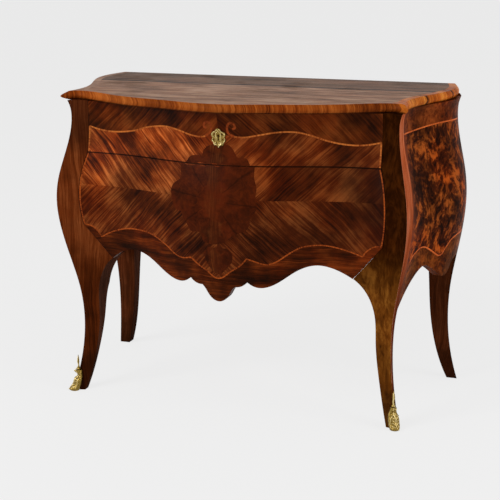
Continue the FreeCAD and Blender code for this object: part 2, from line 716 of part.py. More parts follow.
def drawer_box(storey, half, floor, top):
    """Sides, back and bottom of one drawer, fitted behind its front."""
    low = f"{floor} + sizes.slide_gap"
    base_z = f"{low} + sizes.base_lift"
    inside = f"{half} - sizes.drawer_side"
    length = "sizes.drawer_end + sizes.top_front"
    base = common(f"{storey}_base", box(
        f"{storey}_base_blank", (f"-({inside}) - sizes.groove", "-sizes.top_front", base_z),
        (f"2 * ({inside} + sizes.groove)", length, "sizes.drawer_base")), groove_room)
    keep(f"{storey}_drawer_bottom", base)
    side_blank = box(f"{storey}_side_blank", (inside, "-sizes.top_front", low),
                     ("sizes.drawer_side", length, f"{top} - ({low})"))
    right = cut(f"{storey}_side", common(f"{storey}_side_fitted", side_blank, drawer_room), base)
    keep(f"{storey}_drawer_right_side", right)
    keep(f"{storey}_drawer_left_side", mirrored(f"{storey}_left_side", right))
    over_base = f"{base_z} + sizes.drawer_base"
    keep(f"{storey}_drawer_back", box(
        f"{storey}_back", (f"-({inside})", "sizes.drawer_end - sizes.drawer_side", over_base),
        (f"2 * ({inside})", "sizes.drawer_side", f"{top} - sizes.back_drop - ({over_base})")))
    return base


upper_base = drawer_box("upper", "sizes.upper_box_half", DUST_TOP, "sizes.upper_box_top")
lower_base = drawer_box("lower", "sizes.lower_box_half", "sizes.lower_floor_z", "sizes.lower_box_top")

# Lower drawer front with the apron

half_gap = d.drawer_gap / 2
edge_right = [(x - d.drawer_gap, z) for x, z in opening_edge]
edge_right[0] = (d.opening_half - d.drawer_gap, d.seam_z - half_gap)
tip_right = (d.ear_tip_x - d.drawer_gap, d.ear_tip_z)
arch = [
    tip_right,
    (0.42 * d.ear_tip_x + 0.58 * d.lobe_x, 0.2 * d.ear_tip_z + 0.8 * d.lobe_z),
    (d.lobe_x, d.lobe_z),
    (0.64 * d.lobe_x + 0.36 * d.swag_x, 0.77 * d.lobe_z + 0.23 * d.swag_z),
    (0.24 * d.lobe_x + 0.76 * d.swag_x, 0.19 * d.lobe_z + 0.81 * d.swag_z),
    (d.swag_x, d.swag_z),
    (d.cusp_x, d.cusp_z),
]
scallop = [
    (d.cusp_x, d.cusp_z),
    (0.45 * d.cusp_x + 0.55 * d.pendant_half, 0.1 * d.cusp_z + 0.9 * d.pendant_shoulder_z),
    (d.pendant_half, d.pendant_shoulder_z),
]
drop = d.pendant_shoulder_z - d.pendant_z
pendant = [
    (d.pendant_half, d.pendant_shoulder_z),
    (0.8 * d.pendant_half, d.pendant_z + 0.75 * drop),
    (0.5 * d.pendant_half, d.pendant_z + 0.26 * drop),
    (0, d.pendant_z),
]


def shifted(points, side):
    """Apron points on one side, moved over by the carver's shift, apart from the tips."""
    moved = []
    for x, z in points:
        share = 0 if (x, z) == tip_right else 1
        moved.append((side * x + share * d.apron_shift, z))
    return moved


def flipped(points):
    """The same points on the left, walked the other way."""
    return [(-x, z) for x, z in reversed(points)]


pendant_line = shifted(pendant, 1) + list(reversed(shifted(pendant[:-1], -1)))
lower_outline = template("lower_outline", [
    [(-edge_right[0][0], edge_right[0][1]), edge_right[0]],
    edge_right,
    [edge_right[-1], tip_right],
    shifted(arch, 1),
    shifted(scallop, 1),
    pendant_line,
    list(reversed(shifted(scallop, -1))),
    list(reversed(shifted(arch, -1))),
    [(-tip_right[0], tip_right[1]), (-edge_right[-1][0], edge_right[-1][1])],
    flipped(edge_right),
], "XZ")
lower_front = common("lower_front", front_shell, lower_outline)
keep("lower_drawer_front", cut("lower_drawer_front", lower_front, lower_base))

# Upper drawer front, lock and escutcheon

KEYHOLE = "sizes.height - sizes.top_thick - sizes.keyhole_drop"
DRAWER_TOP = f"{BODY_TOP} - sizes.top_gap"
face_half = d.opening_half - d.drawer_gap
upper_outline = template("upper_outline", [
    [(-face_half, d.seam_z + half_gap), (face_half, d.seam_z + half_gap)],
    [(face_half, d.seam_z + half_gap), (face_half, drawer_top)],
    [(face_half, drawer_top), (-face_half, drawer_top)],
    [(-face_half, drawer_top), (-face_half, d.seam_z + half_gap)],
], "XZ")
lock_y = touch(front_face, forward_start + Vector(0, 0, keyhole_z), backward).y + d.lock_set


KEYHOLE_PASS = str(lock_y + d.lock_thick / 3 + reach)
keyhole_bore = doc.addObject("Part::Cylinder", "keyhole_bore")
keyhole_bore.Placement.Rotation = Rotation(Vector(1, 0, 0), -90)
bind(keyhole_bore, Radius="sizes.keyhole_round", Height=KEYHOLE_PASS,
     Placement__Base__y="-sizes.height", Placement__Base__z=KEYHOLE)
SLOT_LOW = f"{KEYHOLE} - sizes.keyhole_slot"
keyhole_slot = box("keyhole_slot", ("-sizes.keyhole_slot_width / 2", "-sizes.height", SLOT_LOW),
                   ("sizes.keyhole_slot_width", KEYHOLE_PASS, "sizes.keyhole_slot"))
keyhole = doc.addObject("Part::Fuse", "keyhole")
keyhole.Base = keyhole_bore
keyhole.Tool = keyhole_slot

LOCK_Y = str(lock_y)
BOLT_LOW = f"{DRAWER_TOP} - sizes.bolt_sink - sizes.bolt_length"
case_blank = box("case_blank", ("-sizes.lock_width / 2", LOCK_Y, f"{KEYHOLE} - sizes.lock_below"),
                 ("sizes.lock_width", "sizes.lock_thick", f"{DRAWER_TOP} - ({KEYHOLE}) + sizes.lock_below"))
bolt_way = box("bolt_way", ("-sizes.bolt_width / 2 - sizes.slide_gap",
                            f"{LOCK_Y} + sizes.bolt_inset - sizes.slide_gap",
                            f"{BOLT_LOW} - sizes.slide_gap"),
               ("sizes.bolt_width + 2 * sizes.slide_gap", "sizes.bolt_thick + 2 * sizes.slide_gap",
                "2 * sizes.bolt_length"))
keep("lock_bolt", box("lock_bolt", ("-sizes.bolt_width / 2", f"{LOCK_Y} + sizes.bolt_inset", BOLT_LOW),
                      ("sizes.bolt_width", "sizes.bolt_thick", "sizes.bolt_length")))

lock_low = keyhole_z - d.lock_below
screw_x = d.lock_width / 2 - d.screw_inset
lock_screws = keep("lock_screws", group("lock_screws", screw, [
    FreeCAD.Placement(Vector(side * screw_x, lock_y + d.lock_thick, z), TO_BACK)
    for side in (-1, 1) for z in (lock_low + d.screw_inset, drawer_top - d.screw_inset)]))
keep("lock_case", cut("lock_case", case_blank, bolt_way, keyhole, lock_screws))

# The escutcheon follows the front's curve, so it is cut from a thin skin over it
plate_z = keyhole_z - d.plate_drop
CARTOUCHE = [(0, 1), (0.34, 0.86), (0.46, 0.7), (0.8, 0.62), (1, 0.3), (0.86, 0.02), (0.97, -0.24),
             (0.74, -0.5), (0.62, -0.72), (0.28, -0.78), (0, -1)]


def cartouche(side):
    """One half of the escutcheon's outline, from its top to its foot."""
    return [(side * x * d.plate_width / 2, plate_z + z * d.plate_height / 2) for x, z in CARTOUCHE]


plate_face = front_face.translated(backward * -d.plate_thick)
plate_skin = solid("plate_skin", plate_face.extrude(backward * d.plate_thick))
plate_outline = template("plate_outline", [cartouche(1), list(reversed(cartouche(-1)))], "XZ")
piercings = []
for x, z in ((0.52, 0.42), (0.62, -0.14), (0.34, -0.5)):
    for side in (-1, 1):
        place = Vector(side * x * d.plate_width / 2, -reach, plate_z + z * d.plate_height / 2)
        piercings.append(Part.makeCylinder(d.pierce_round, reach, place, backward))
pierced = solid("pierced", Part.makeCompound(piercings))
pin_places = []
for share in (0.8, -0.86):
    on_front = touch(front_face, Vector(0, -reach, plate_z + share * d.plate_height / 2), backward)
    pin_places.append(FreeCAD.Placement(on_front - backward * d.plate_thick, TO_FRONT))
escutcheon_pins = keep("escutcheon_pins", group("escutcheon_pins", pin, pin_places))
plate_blank = common("plate_blank", plate_skin, plate_outline)
keep("escutcheon", cut("escutcheon", plate_blank, keyhole, pierced, escutcheon_pins))

upper_front = common("upper_front", front_shell, upper_outline)
keep("upper_drawer_front", cut("upper_drawer_front", upper_front, upper_base, case_blank, keyhole,
                               lock_screws, escutcheon_pins))

# Gilt feet: a shell with a toe round each front leg's corner, and a leaf on a stem over it


def corner_at(z):
    """The front right corner of the posts at a height."""
    x = d.side_ankle
    for _ in range(4):
        y = touch(front_face, Vector(x, -reach, z), backward).y
        x = touch(side_face, Vector(reach, y, z), inward).x
    return Vector(x, y, z)


outward = Vector(1, -1, 0).normalize()
sideways = Vector(1, 1, 0).normalize()


def oval(centre, out, across, back):
    """A level ring round a centre: how far it reaches out, across and back."""
    points = []
    for eighth in range(8):
        turn = eighth * math.pi / 4
        reach_out = (out if math.cos(turn) > 0 else back) * math.cos(turn)
        points.append(centre + outward * reach_out + sideways * (across * math.sin(turn)))
    ring = Part.BSplineCurve()
    ring.interpolate(Points=points, PeriodicFlag=True)
    return Part.Wire(ring.toShape())


def middle_at(z):
    """The shell's middle line at a height."""
    return corner_at(z) - Vector(d.sabot_inset + d.sabot_lean * (1 - z / d.sabot_body), 0, 0)


pin_z = 0.6 * d.sabot_body
pin_out = d.sabot_swell
pin_across = 0.94 * d.sabot_half
shell_rings = [
    (d.sabot_lift, 0.72 * d.sabot_toe, 0.74 * d.sabot_half),
    (0.07 * d.sabot_body, 0.96 * d.sabot_toe, 0.84 * d.sabot_half),
    (0.12 * d.sabot_body, d.sabot_toe, 0.88 * d.sabot_half),
    (0.22 * d.sabot_body, 0.6 * d.sabot_toe + 0.4 * d.sabot_swell, 0.95 * d.sabot_half),
    (0.38 * d.sabot_body, 0.2 * d.sabot_toe + 0.8 * d.sabot_swell, d.sabot_half),
    (pin_z, pin_out, pin_across),
    (0.84 * d.sabot_body, 0.72 * d.sabot_swell, 0.66 * d.sabot_half),
    (d.sabot_body, 0.5 * d.sabot_swell, 0.38 * d.sabot_half),
]
shell_ovals = [oval(middle_at(z), out, across, min(out, d.sabot_swell)) for z, out, across in shell_rings]
shell = solid("shell", Part.makeLoft(shell_ovals, True))

leaf_base = middle_at(0.95 * d.sabot_body) + outward * (1.6 * d.sabot_stem)
leaf_run = d.sabot_height - leaf_base.z
leaf_rings = [
    (0, 0.6 * d.sabot_collar, 0.6 * d.sabot_collar),
    (0.08, 0.6 * d.sabot_collar, 0.7 * d.sabot_collar),
    (0.16, 0.8 * d.sabot_collar, d.sabot_collar),
    (0.24, 0.5 * d.sabot_collar, 0.55 * d.sabot_collar),
    (0.34, d.sabot_stem, d.sabot_stem),
    (0.48, 0.9 * d.sabot_stem, d.sabot_stem),
    (0.62, 1.1 * d.sabot_stem, d.sabot_leaf),
    (0.8, 0.9 * d.sabot_stem, 0.75 * d.sabot_leaf),
    (1, 0.25 * d.sabot_stem, 0.15 * d.sabot_leaf),
]
leaf_ovals = [oval(leaf_base + Vector(0, 0, share * leaf_run), out, across, out)
              for share, out, across in leaf_rings]
leaf = solid("leaf", Part.makeLoft(leaf_ovals, True, True))
sabot_blank = doc.addObject("Part::Fuse", "sabot_blank")
sabot_blank.Base = shell
sabot_blank.Tool = leaf
sabot_blank.Refine = False

# Two pins to a foot, square to the leg's faces, with their heads on the shell
steep = 1 / (2 * pin_out ** 2)
flat = 1 / (2 * pin_across ** 2)
lean = d.sabot_pin_in * (flat - steep)
both = steep + flat
pin_rise = (math.sqrt(lean ** 2 - both * (both * d.sabot_pin_in ** 2 - 1)) - lean) / both
sabot_pin = turned("sabot_pin", [
    ("0", "-sizes.sabot_pin_length"), ("sizes.pin_round", "-sizes.sabot_pin_length"),
    ("sizes.pin_round", "0"), ("sizes.pin_head", "0"),
    ("sizes.pin_head * 0.6", "sizes.pin_cap"), ("0", "sizes.pin_cap")])
pin_middle = middle_at(pin_z)
sabot_places = []
for side, to_side in ((1, TO_RIGHT), (-1, TO_LEFT)):
    on_front = Vector(side * (pin_middle.x - d.sabot_pin_in), pin_middle.y - pin_rise, pin_z)
    sabot_places.append(FreeCAD.Placement(on_front, TO_FRONT))
    on_side = Vector(side * (pin_middle.x + pin_rise), pin_middle.y + d.sabot_pin_in, pin_z)
    sabot_places.append(FreeCAD.Placement(on_side, to_side))
sabot_pins = keep("sabot_pins", group("sabot_pins", sabot_pin, sabot_places))
front_right = keep("front_right_post", cut("front_right_post", front_post, top_dowels, sabot_pins))
keep("front_left_post", mirrored("front_left_post", front_right))
sabot = cut("front_right_sabot", sabot_blank, front_post, sabot_pins)
for step in (sabot.Base, sabot):
    step.Refine = False
keep("front_right_sabot", sabot)
keep("front_left_sabot", mirrored("front_left_sabot", sabot))

# The top: two boards inside three edge mouldings


def top_side(y):
    """The top's half width at a depth."""
    return d.top_waist + d.top_swell * cosine((y + d.side_dip_y) / (d.side_dip_y + d.side_peak_y))


tip_x = top_side(-d.top_tip_y)


def top_front_edge(inset):
    """The top's front edge in plan, carried straight on past its corner tips."""
    run_x = tip_x - d.top_hollow_x
    run_y = d.top_tip_y - d.top_hollow_y
    past = 2 * d.top_swell / run_x
    half = [(d.top_quarter_x, d.top_quarter_y), (d.top_mid_x, d.top_mid_y),
            (d.top_hollow_x, d.top_hollow_y), (tip_x, d.top_tip_y),
            (tip_x + run_x, d.top_tip_y + run_y),
            (tip_x + past * run_x, d.top_tip_y + past * run_y)]
    edge = [Vector(-x, inset - y, 0) for x, y in reversed(half)]
    edge.append(Vector(0, inset - d.top_front, 0))
    return edge + [Vector(x, inset - y, 0) for x, y in half]


def top_side_edge(inset):
    """The top's right edge in plan, from level with its front to the back."""
    first = -d.top_front - d.rim_width
    depth = d.top_back - first
    levels = [first + step / 12 * depth for step in range(13)]
    return [Vector(top_side(y) - inset, y, 0) for y in levels]


def nose(inward_way):
    """The rounded section of the top's edge, carried on past its two faces."""
    section = []
    for step in range(-1, 6):
        drawn_in = d.rim_round * (1 - math.sin(math.pi * step / 4))
        section.append(inward_way * drawn_in + Vector(0, 0, body_top + step / 4 * d.top_thick))
    return smooth(section)


def upright():
    """A straight section that passes the top's two faces."""
    return smooth([Vector(0, 0, body_top - d.top_thick), Vector(0, 0, d.height + d.top_thick)])


def top_region(name, inset, front_section, side_section):
    """The top within its front and side edges, drawn in by an inset."""
    behind = carried(smooth(top_front_edge(inset)), front_section, lambda p, q: p + q)
    within = carried(smooth(top_side_edge(inset)), side_section, lambda p, q: p + q)
    right = solid(name + "_right", within.extrude(inward * 2 * reach))
    back = box(name + "_back", ("-sizes.height", "-sizes.height", BODY_TOP),
               ("2 * sizes.height", "sizes.height + sizes.top_back", "sizes.top_thick"))
    front = solid(name + "_front", behind.extrude(backward * reach))
    return common(name, front, right, mirrored(name + "_left", right), back)


top_whole = top_region("top_whole", 0, nose(backward), nose(inward))
top_inside = top_region("top_inside", d.rim_width, upright(), upright())
rim = cut("rim", top_whole, top_inside)

mitre = solid("mitre", outline_face([
    [(tip_x, -d.top_tip_y), (tip_x - reach, reach - d.top_tip_y)],
    [(tip_x - reach, reach - d.top_tip_y), (reach, reach)],
    [(reach, reach), (reach, -reach)],
    [(reach, -reach), (tip_x, -reach)],
    [(tip_x, -reach), (tip_x, -d.top_tip_y)],
], "XY", body_top).extrude(Vector(0, 0, d.top_thick)))
right_of_middle = box("right_of_middle", ("0", "-sizes.height", BODY_TOP),
                      ("sizes.height", "2 * sizes.height", "sizes.top_thick"))
right_rim = keep("top_right_moulding", common("right_rim", rim, mitre, right_of_middle))
left_rim = keep("top_left_moulding", mirrored("left_rim", right_rim))
keep("top_front_moulding", cut("front_rim", rim, right_rim, left_rim))

mortise = box("mortise", ("-sizes.bolt_width / 2 - sizes.mortise_room",
                          f"{LOCK_Y} + sizes.bolt_inset - sizes.mortise_room", BODY_TOP),
              ("sizes.bolt_width + 2 * sizes.mortise_room", "sizes.bolt_thick + 2 * sizes.mortise_room",
               "sizes.bolt_travel + sizes.mortise_room"))
front_half = box("front_half", ("-sizes.height", "-sizes.height", BODY_TOP),
                 ("2 * sizes.height", "sizes.height + sizes.top_joint_y", "sizes.top_thick"))
front_boards = common("front_boards", top_inside, front_half)
keep("top_front_board", cut("top_front_board", front_boards, mortise, top_dowels))
keep("top_rear_board", cut("top_rear_board", top_inside, front_half, top_dowels))

# Test the document, then write one file for each piece

doc.recompute()
for item in doc.Objects:
    if "Invalid" in item.State or "Error" in item.State:
        raise RuntimeError(f"{item.Label} failed: {item.State}")
for label, piece in nodes.items():
    if piece.Shape.isNull() or not piece.Shape.isValid() or not piece.Shape.Solids:
        raise RuntimeError(f"{label} has no valid solid")

os.makedirs("parts", exist_ok=True)
for label, piece in nodes.items():
    piece.Shape.exportStep(f"parts/{label}.step")
    print(label, len(piece.Shape.Solids), round(piece.Shape.Volume / 1000), "cm3")
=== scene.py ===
"""Looks of a bombe chest with two drawers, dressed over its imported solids.

Lengths are in metres in the frame of the solids: x to the right, y to the back, z up.
"""

import logging
import math
from dataclasses import dataclass, field
from enum import Enum
from typing import Iterable, Mapping, Sequence

import bmesh
import bpy
from bpy.types import ID, Material, Mesh, Node, NodeOutputs, NodeSocket, NodeTree, Object, World
from mathutils import Matrix, Vector
from mathutils.bvhtree import BVHTree
from mathutils.geometry import delaunay_2d_cdt, interpolate_bezier


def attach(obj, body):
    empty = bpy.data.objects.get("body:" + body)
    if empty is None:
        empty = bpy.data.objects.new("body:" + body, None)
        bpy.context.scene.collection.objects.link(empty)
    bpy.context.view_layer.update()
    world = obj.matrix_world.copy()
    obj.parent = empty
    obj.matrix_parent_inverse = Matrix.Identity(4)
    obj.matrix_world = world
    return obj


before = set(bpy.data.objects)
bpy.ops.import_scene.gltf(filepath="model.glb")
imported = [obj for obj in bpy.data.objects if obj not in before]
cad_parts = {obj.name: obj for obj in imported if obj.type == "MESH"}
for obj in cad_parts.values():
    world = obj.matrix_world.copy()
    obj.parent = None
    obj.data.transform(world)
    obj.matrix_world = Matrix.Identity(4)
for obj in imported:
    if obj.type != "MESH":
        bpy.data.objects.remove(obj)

LOG = logging.getLogger("bombe_chest")
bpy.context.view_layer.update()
MM = 0.001
FIBRE_DEPTH = 0.3 * MM
STRING_DEPTH = 0.2 * MM
METAL_DEPTH = 0.4 * MM
BUMP_STRENGTH = 0.6
LINE_SOFTNESS = 0.8 * MM
PLAIN_CLOUDS = 0.8
FROM_FRONT = Vector((0.0, 1.0, 0.0))
LEVELS = ("upper", "lower")
SIDES = ("left", "right")

Colour = tuple[float, float, float]
Point = tuple[float, float]
Coat = tuple[object, object, object]


def tone(red: int, green: int, blue: int) -> Colour:
    """Turn a colour as a screen shows it, from 0 to 255, into the linear values that shaders take."""
    shares = [part / 255 for part in (red, green, blue)]
    return tuple(part / 12.92 if part <= 0.04045 else ((part + 0.055) / 1.055) ** 2.4 for part in shares)


def fresh_tree(owner: Material | World) -> NodeTree:
    """Empty the shader tree of a material or a world.

    Args:
        owner: The material or the world.

    Returns:
        Its empty tree.
    """
    owner.use_nodes = True
    owner.node_tree.nodes.clear()
    return owner.node_tree


def add_object(name: str, data: ID) -> Object:
    """Put a new object into the scene.

    Args:
        name: The object's name.
        data: Its mesh, lamp or camera.

    Returns:
        The object.
    """
    made = bpy.data.objects.new(name, data)
    bpy.context.scene.collection.objects.link(made)
    return made


class NodeBench:
    """Adds and joins nodes in one shader tree."""

    def __init__(self, tree: NodeTree) -> None:
        """Take the tree to work on."""
        self.tree = tree

    def feed(self, socket: NodeSocket, value: object) -> None:
        """Join a socket to another one, or set its own value.

        Args:
            socket: The input to fill.
            value: An output socket, a number, a colour or a vector.
        """
        if isinstance(value, NodeSocket):
            self.tree.links.new(value, socket)
        elif socket.type == "RGBA":
            socket.default_value = (*value[:3], 1.0)
        else:
            socket.default_value = value

    def add(self, kind: str, inputs: Mapping | None = None, **settings: object) -> Node:
        """Add a node.

        Args:
            kind: The node's type without its leading words.
            inputs: Socket names or numbers with what goes in.
            **settings: The node's own properties.

        Returns:
            The new node.
        """
        node = self.tree.nodes.new("ShaderNode" + kind)
        for name, value in settings.items():
            setattr(node, name, value)
        for key, value in (inputs or {}).items():
            self.feed(node.inputs[key], value)
        return node

    def math(self, operation: str, *values: object) -> NodeSocket:
        """Work out one number from others."""
        return self.add("Math", dict(enumerate(values)), operation=operation).outputs[0]

    def scaled(self, value: object, factor: object, more: object = 0.0) -> NodeSocket:
        """Multiply a number by a factor and add more to it."""
        return self.math("MULTIPLY_ADD", value, factor, more)

    def minus(self, first: object, second: object) -> NodeSocket:
        """Take a second number from a first one."""
        return self.math("SUBTRACT", first, second)

    def apart(self, first: object, second: object) -> NodeSocket:
        """Give how far two numbers are apart."""
        return self.math("ABSOLUTE", self.minus(first, second))

    def sway(self, noise: object, reach: object, base: object, middle: float = 0.5) -> NodeSocket:
        """Move a base number up and down with a noise around its middle."""
        return self.scaled(self.minus(noise, middle), reach, base)

    def total(self, *parts: tuple[object, float]) -> object:
        """Add up numbers.

        Args:
            *parts: Each number with the share that it has.

        Returns:
            The sum.
        """
        result = 0.0
        for value, share in parts:
            result = self.scaled(value, share, result)
        return result

    def spread(self, value: object, low: float, high: float, to_low: float = 0.0,
               to_high: float = 1.0) -> NodeSocket:
        """Ease a value that runs from low to high into a range of its own."""
        inputs = {"Value": value, "From Min": low, "From Max": high, "To Min": to_low, "To Max": to_high}
        return self.add("MapRange", inputs, interpolation_type="SMOOTHSTEP").outputs[0]

    def blend(self, share: object, first: object, second: object, mode: str = "MIX") -> NodeSocket:
        """Mix two colours, with the share of the second one."""
        inputs = {0: share, 6: first, 7: second}
        return self.add("Mix", inputs, data_type="RGBA", blend_type=mode).outputs[2]

    def tint(self, colour: object, other: object, value: object, low: float, high: float,
             most: float = 1.0) -> NodeSocket:
        """Let another colour come in, up to its most, while a value runs from low to high."""
        return self.blend(self.spread(value, low, high, 0.0, most), colour, other)

    def between(self, share: object, first: object, second: object) -> NodeSocket:
        """Mix two numbers."""
        return self.add("Mix", {0: share, 2: first, 3: second}, data_type="FLOAT").outputs[0]

    def point(self, along: object, across: object, deep: object) -> NodeSocket:
        """Make a place out of three numbers."""
        return self.add("CombineXYZ", {0: along, 1: across, 2: deep}).outputs[0]

    def axes(self, place: object) -> tuple[NodeSocket, ...]:
        """Part a place into its three numbers."""
        return tuple(self.add("SeparateXYZ", {0: place}).outputs)

    def noise(self, place: object, scale: object = 1.0, detail: float = 3.0,
              roughness: float = 0.55) -> NodeSocket:
        """Add cloudy noise, near 0.5 on average, with finer layers by detail and their roughness."""
        inputs = {"Vector": place, "Scale": scale, "Detail": detail, "Roughness": roughness}
        return self.add("TexNoise", inputs).outputs["Fac"]

    def ragged(self, value: object, place: object, scale: float, reach: float) -> NodeSocket:
        """Make a number uneven with noise."""
        return self.scaled(self.noise(place, scale), reach, value)

    def three_tones(self, value: object, dark: object, middle: object, light: object) -> NodeSocket:
        """Run from a dark colour at 0 over a middle one at 0.5 to a light one at 1."""
        lower, upper = (self.add("MapRange", {"Value": value, end: 0.5}).outputs[0]
                        for end in ("From Max", "From Min"))
        return self.blend(upper, self.blend(lower, dark, middle), light)


class Effect:
    """A shared shader effect, kept as one node group with named sockets."""

    name: str = "effect"
    takes: Mapping[str, str] = {}
    gives: Mapping[str, str] = {}

    def __init__(self) -> None:
        """Build the node group."""
        self.tree = bpy.data.node_groups.new(self.name, "ShaderNodeTree")
        for way, sockets in (("INPUT", self.takes), ("OUTPUT", self.gives)):
            for name, kind in sockets.items():
                self.tree.interface.new_socket(name=name, in_out=way, socket_type="NodeSocket" + kind)
        bench = NodeBench(self.tree)
        given = self.tree.nodes.new("NodeGroupInput").outputs
        ending = self.tree.nodes.new("NodeGroupOutput")
        for name, result in self.build(bench, given).items():
            bench.feed(ending.inputs[name], result)

    def build(self, bench: NodeBench, given: NodeOutputs) -> dict[str, object]:
        """Lay out the effect's nodes.

        Args:
            bench: Where the nodes are added.
            given: The group's own inputs.

        Returns:
            What goes to each output.
        """
        raise NotImplementedError

    def place(self, bench: NodeBench, **inputs: object) -> NodeOutputs:
        """Put the effect into a material, with values or sockets for its inputs."""
        return bench.add("Group", inputs, node_tree=self.tree).outputs


WOOD_SOCKETS = {"Dark": "Color", "Middle": "Color", "Light": "Color"}


class StreakedVeneer(Effect):
    """Streaks, dark lines and pores of a figured cabinet wood, drawn along its fibres."""

    name = "streaked_veneer"
    takes = {"Along": "Float", "Across": "Float", "Leaf": "Float", **WOOD_SOCKETS, "Streaks": "Float",
             "Contrast": "Float", "Clouds": "Float"}
    gives = {"Color": "Color", "Fibre": "Float"}

    def build(self, bench: NodeBench, given: NodeOutputs) -> dict[str, object]:
        """Lay out the streaks."""

        def layer(stretch: float, width: object, shift: float = 0.0, detail: float = 3.0) -> NodeSocket:
            """Add one layer of streaks.

            Args:
                stretch: How many lumps there are in a metre along the fibres.
                width: The place across the fibres, in lumps.
                shift: Which part of the noise is read.
                detail: How many finer layers lie on it.

            Returns:
                The layer, near 0.5 on average.
            """
            leaf = bench.math("ADD", given["Leaf"], shift)
            spot = bench.point(bench.scaled(given["Along"], stretch), width, leaf)
            return bench.noise(spot, detail=detail, roughness=0.6)

        across = given["Across"]
        bent = bench.sway(layer(5.0, bench.scaled(across, 9.0), detail=2.0), 0.03, across)
        rows = bench.scaled(bent, given["Streaks"])
        fibre = layer(45.0, bench.scaled(bent, 1600.0))
        total = bench.total(
            (layer(2.5, bench.scaled(rows, 0.45)), 0.26),
            (layer(5.0, rows, shift=2.0), 0.32),
            (layer(14.0, bench.scaled(rows, 5.0), shift=3.0), 0.32),
            (fibre, 0.1),
        )
        cloud = layer(8.0, bench.scaled(across, 10.0), shift=6.0)
        value = bench.sway(cloud, given["Clouds"], bench.sway(total, given["Contrast"], 0.5))
        colour = bench.three_tones(value, given["Dark"], given["Middle"], given["Light"])
        lines = layer(4.0, bench.scaled(rows, 3.5), shift=4.7, detail=4.0)
        pores = layer(90.0, bench.scaled(bent, 700.0), shift=8.1)
        shade = bench.math("MAXIMUM", bench.spread(lines, 0.58, 0.7, 0.0, 0.5),
                           bench.spread(pores, 0.6, 0.72, 0.0, 0.45))
        return {"Color": bench.blend(shade, colour, given["Dark"]), "Fibre": fibre}


class BurrFigure(Effect):
    """Swirled burr with dark clouds and small eyes."""

    name = "burr_figure"
    takes = {"Place": "Vector", **WOOD_SOCKETS, "Lumps": "Float", "Contrast": "Float"}
    gives = {"Color": "Color", "Fibre": "Float"}
    swirl = (0.09, 0.09, 0.09)

    def build(self, bench: NodeBench, given: NodeOutputs) -> dict[str, object]:
        """Lay out the burr."""
        drift = bench.add("TexNoise", {"Vector": given["Place"], "Scale": 13.0, "Detail": 3.0})
        inputs = {0: drift.outputs["Color"], 1: self.swirl, 2: given["Place"]}
        moved = bench.add("VectorMath", inputs, operation="MULTIPLY_ADD").outputs[0]
        cloud = bench.noise(moved, scale=given["Lumps"], detail=6.0, roughness=0.68)
        speck = bench.noise(moved, scale=170.0, detail=5.0, roughness=0.7)
        eyes = bench.add("TexVoronoi", {"Vector": moved, "Scale": 75.0}).outputs["Distance"]
        total = bench.total((cloud, 0.66), (speck, 0.26), (eyes, 0.14))
        value = bench.sway(total, given["Contrast"], 0.5, middle=0.52)
        colour = bench.three_tones(value, given["Dark"], given["Middle"], given["Light"])
        return {"Color": colour, "Fibre": speck}


class ChevronLeaves(Effect):
    """Fibre directions of four veneer leaves that meet in a middle and a level line."""

    name = "chevron_leaves"
    takes = {"Place": "Vector", "Level": "Float"}
    gives = {"Along": "Float", "Across": "Float", "Leaf": "Float"}

    def build(self, bench: NodeBench, given: NodeOutputs) -> dict[str, object]:
        """Lay out the four leaves."""
        wide, _, high = bench.axes(given["Place"])
        rise = bench.minus(high, given["Level"])
        out = bench.math("ABSOLUTE", wide)
        lift = bench.math("ABSOLUTE", rise)
        along = bench.scaled(bench.math("ADD", out, lift), math.sqrt(0.5))
        across = bench.scaled(bench.minus(out, lift), math.sqrt(0.5))
        leaf = bench.total((bench.math("SIGN", rise), 1.7), (bench.math("SIGN", wide), 3.1))
        return {"Along": along, "Across": across, "Leaf": leaf}


class OldPolish(Effect):
    """Uneven age of a waxed surface: faded and grimy patches, scuffs and a broken gloss."""

    name = "old_polish"
    takes = {"Color": "Color", "Place": "Vector", "Fading": "Float", "Rough": "Float"}
    gives = {"Color": "Color", "Roughness": "Float"}
    faded = tone(214, 168, 120)
    grime = tone(20, 7, 2)

    def build(self, bench: NodeBench, given: NodeOutputs) -> dict[str, object]:
        """Lay out the patches and scuffs."""
        patches = bench.noise(given["Place"], scale=7.0, detail=4.0, roughness=0.6)
        grimy = bench.spread(patches, 0.5, 0.28)
        share = bench.scaled(bench.spread(patches, 0.42, 0.72), given["Fading"])
        colour = bench.blend(share, given["Color"], self.faded, "SOFT_LIGHT")
        dull = bench.scaled(grimy, bench.scaled(given["Fading"], 0.7, 0.1))
        colour = bench.blend(dull, colour, self.grime)
        scuffs = bench.noise(given["Place"], scale=90.0, detail=6.0, roughness=0.75)
        rough = bench.scaled(grimy, 0.12, bench.sway(scuffs, 0.25, given["Rough"]))
        return {"Color": colour, "Roughness": rough}


class GiltAge(Effect):
    """Worn gilding: bright on the crests, brown in the hollows."""

    name = "gilt_age"
    takes = {"Place": "Vector", "Relief": "Float"}
    gives = {"Color": "Color", "Roughness": "Float", "Grain": "Float"}
    tones = (tone(48, 35, 6), tone(156, 128, 58), tone(242, 220, 156))

    def build(self, bench: NodeBench, given: NodeOutputs) -> dict[str, object]:
        """Lay out the gilding."""
        mottle = bench.noise(given["Place"], scale=260.0, detail=4.0, roughness=0.65)
        crest = bench.sway(mottle, 0.7, given["Relief"])
        colour = bench.three_tones(crest, *self.tones)
        return {"Color": colour, "Roughness": bench.spread(crest, 0.2, 0.9, 0.5, 0.24), "Grain": mottle}


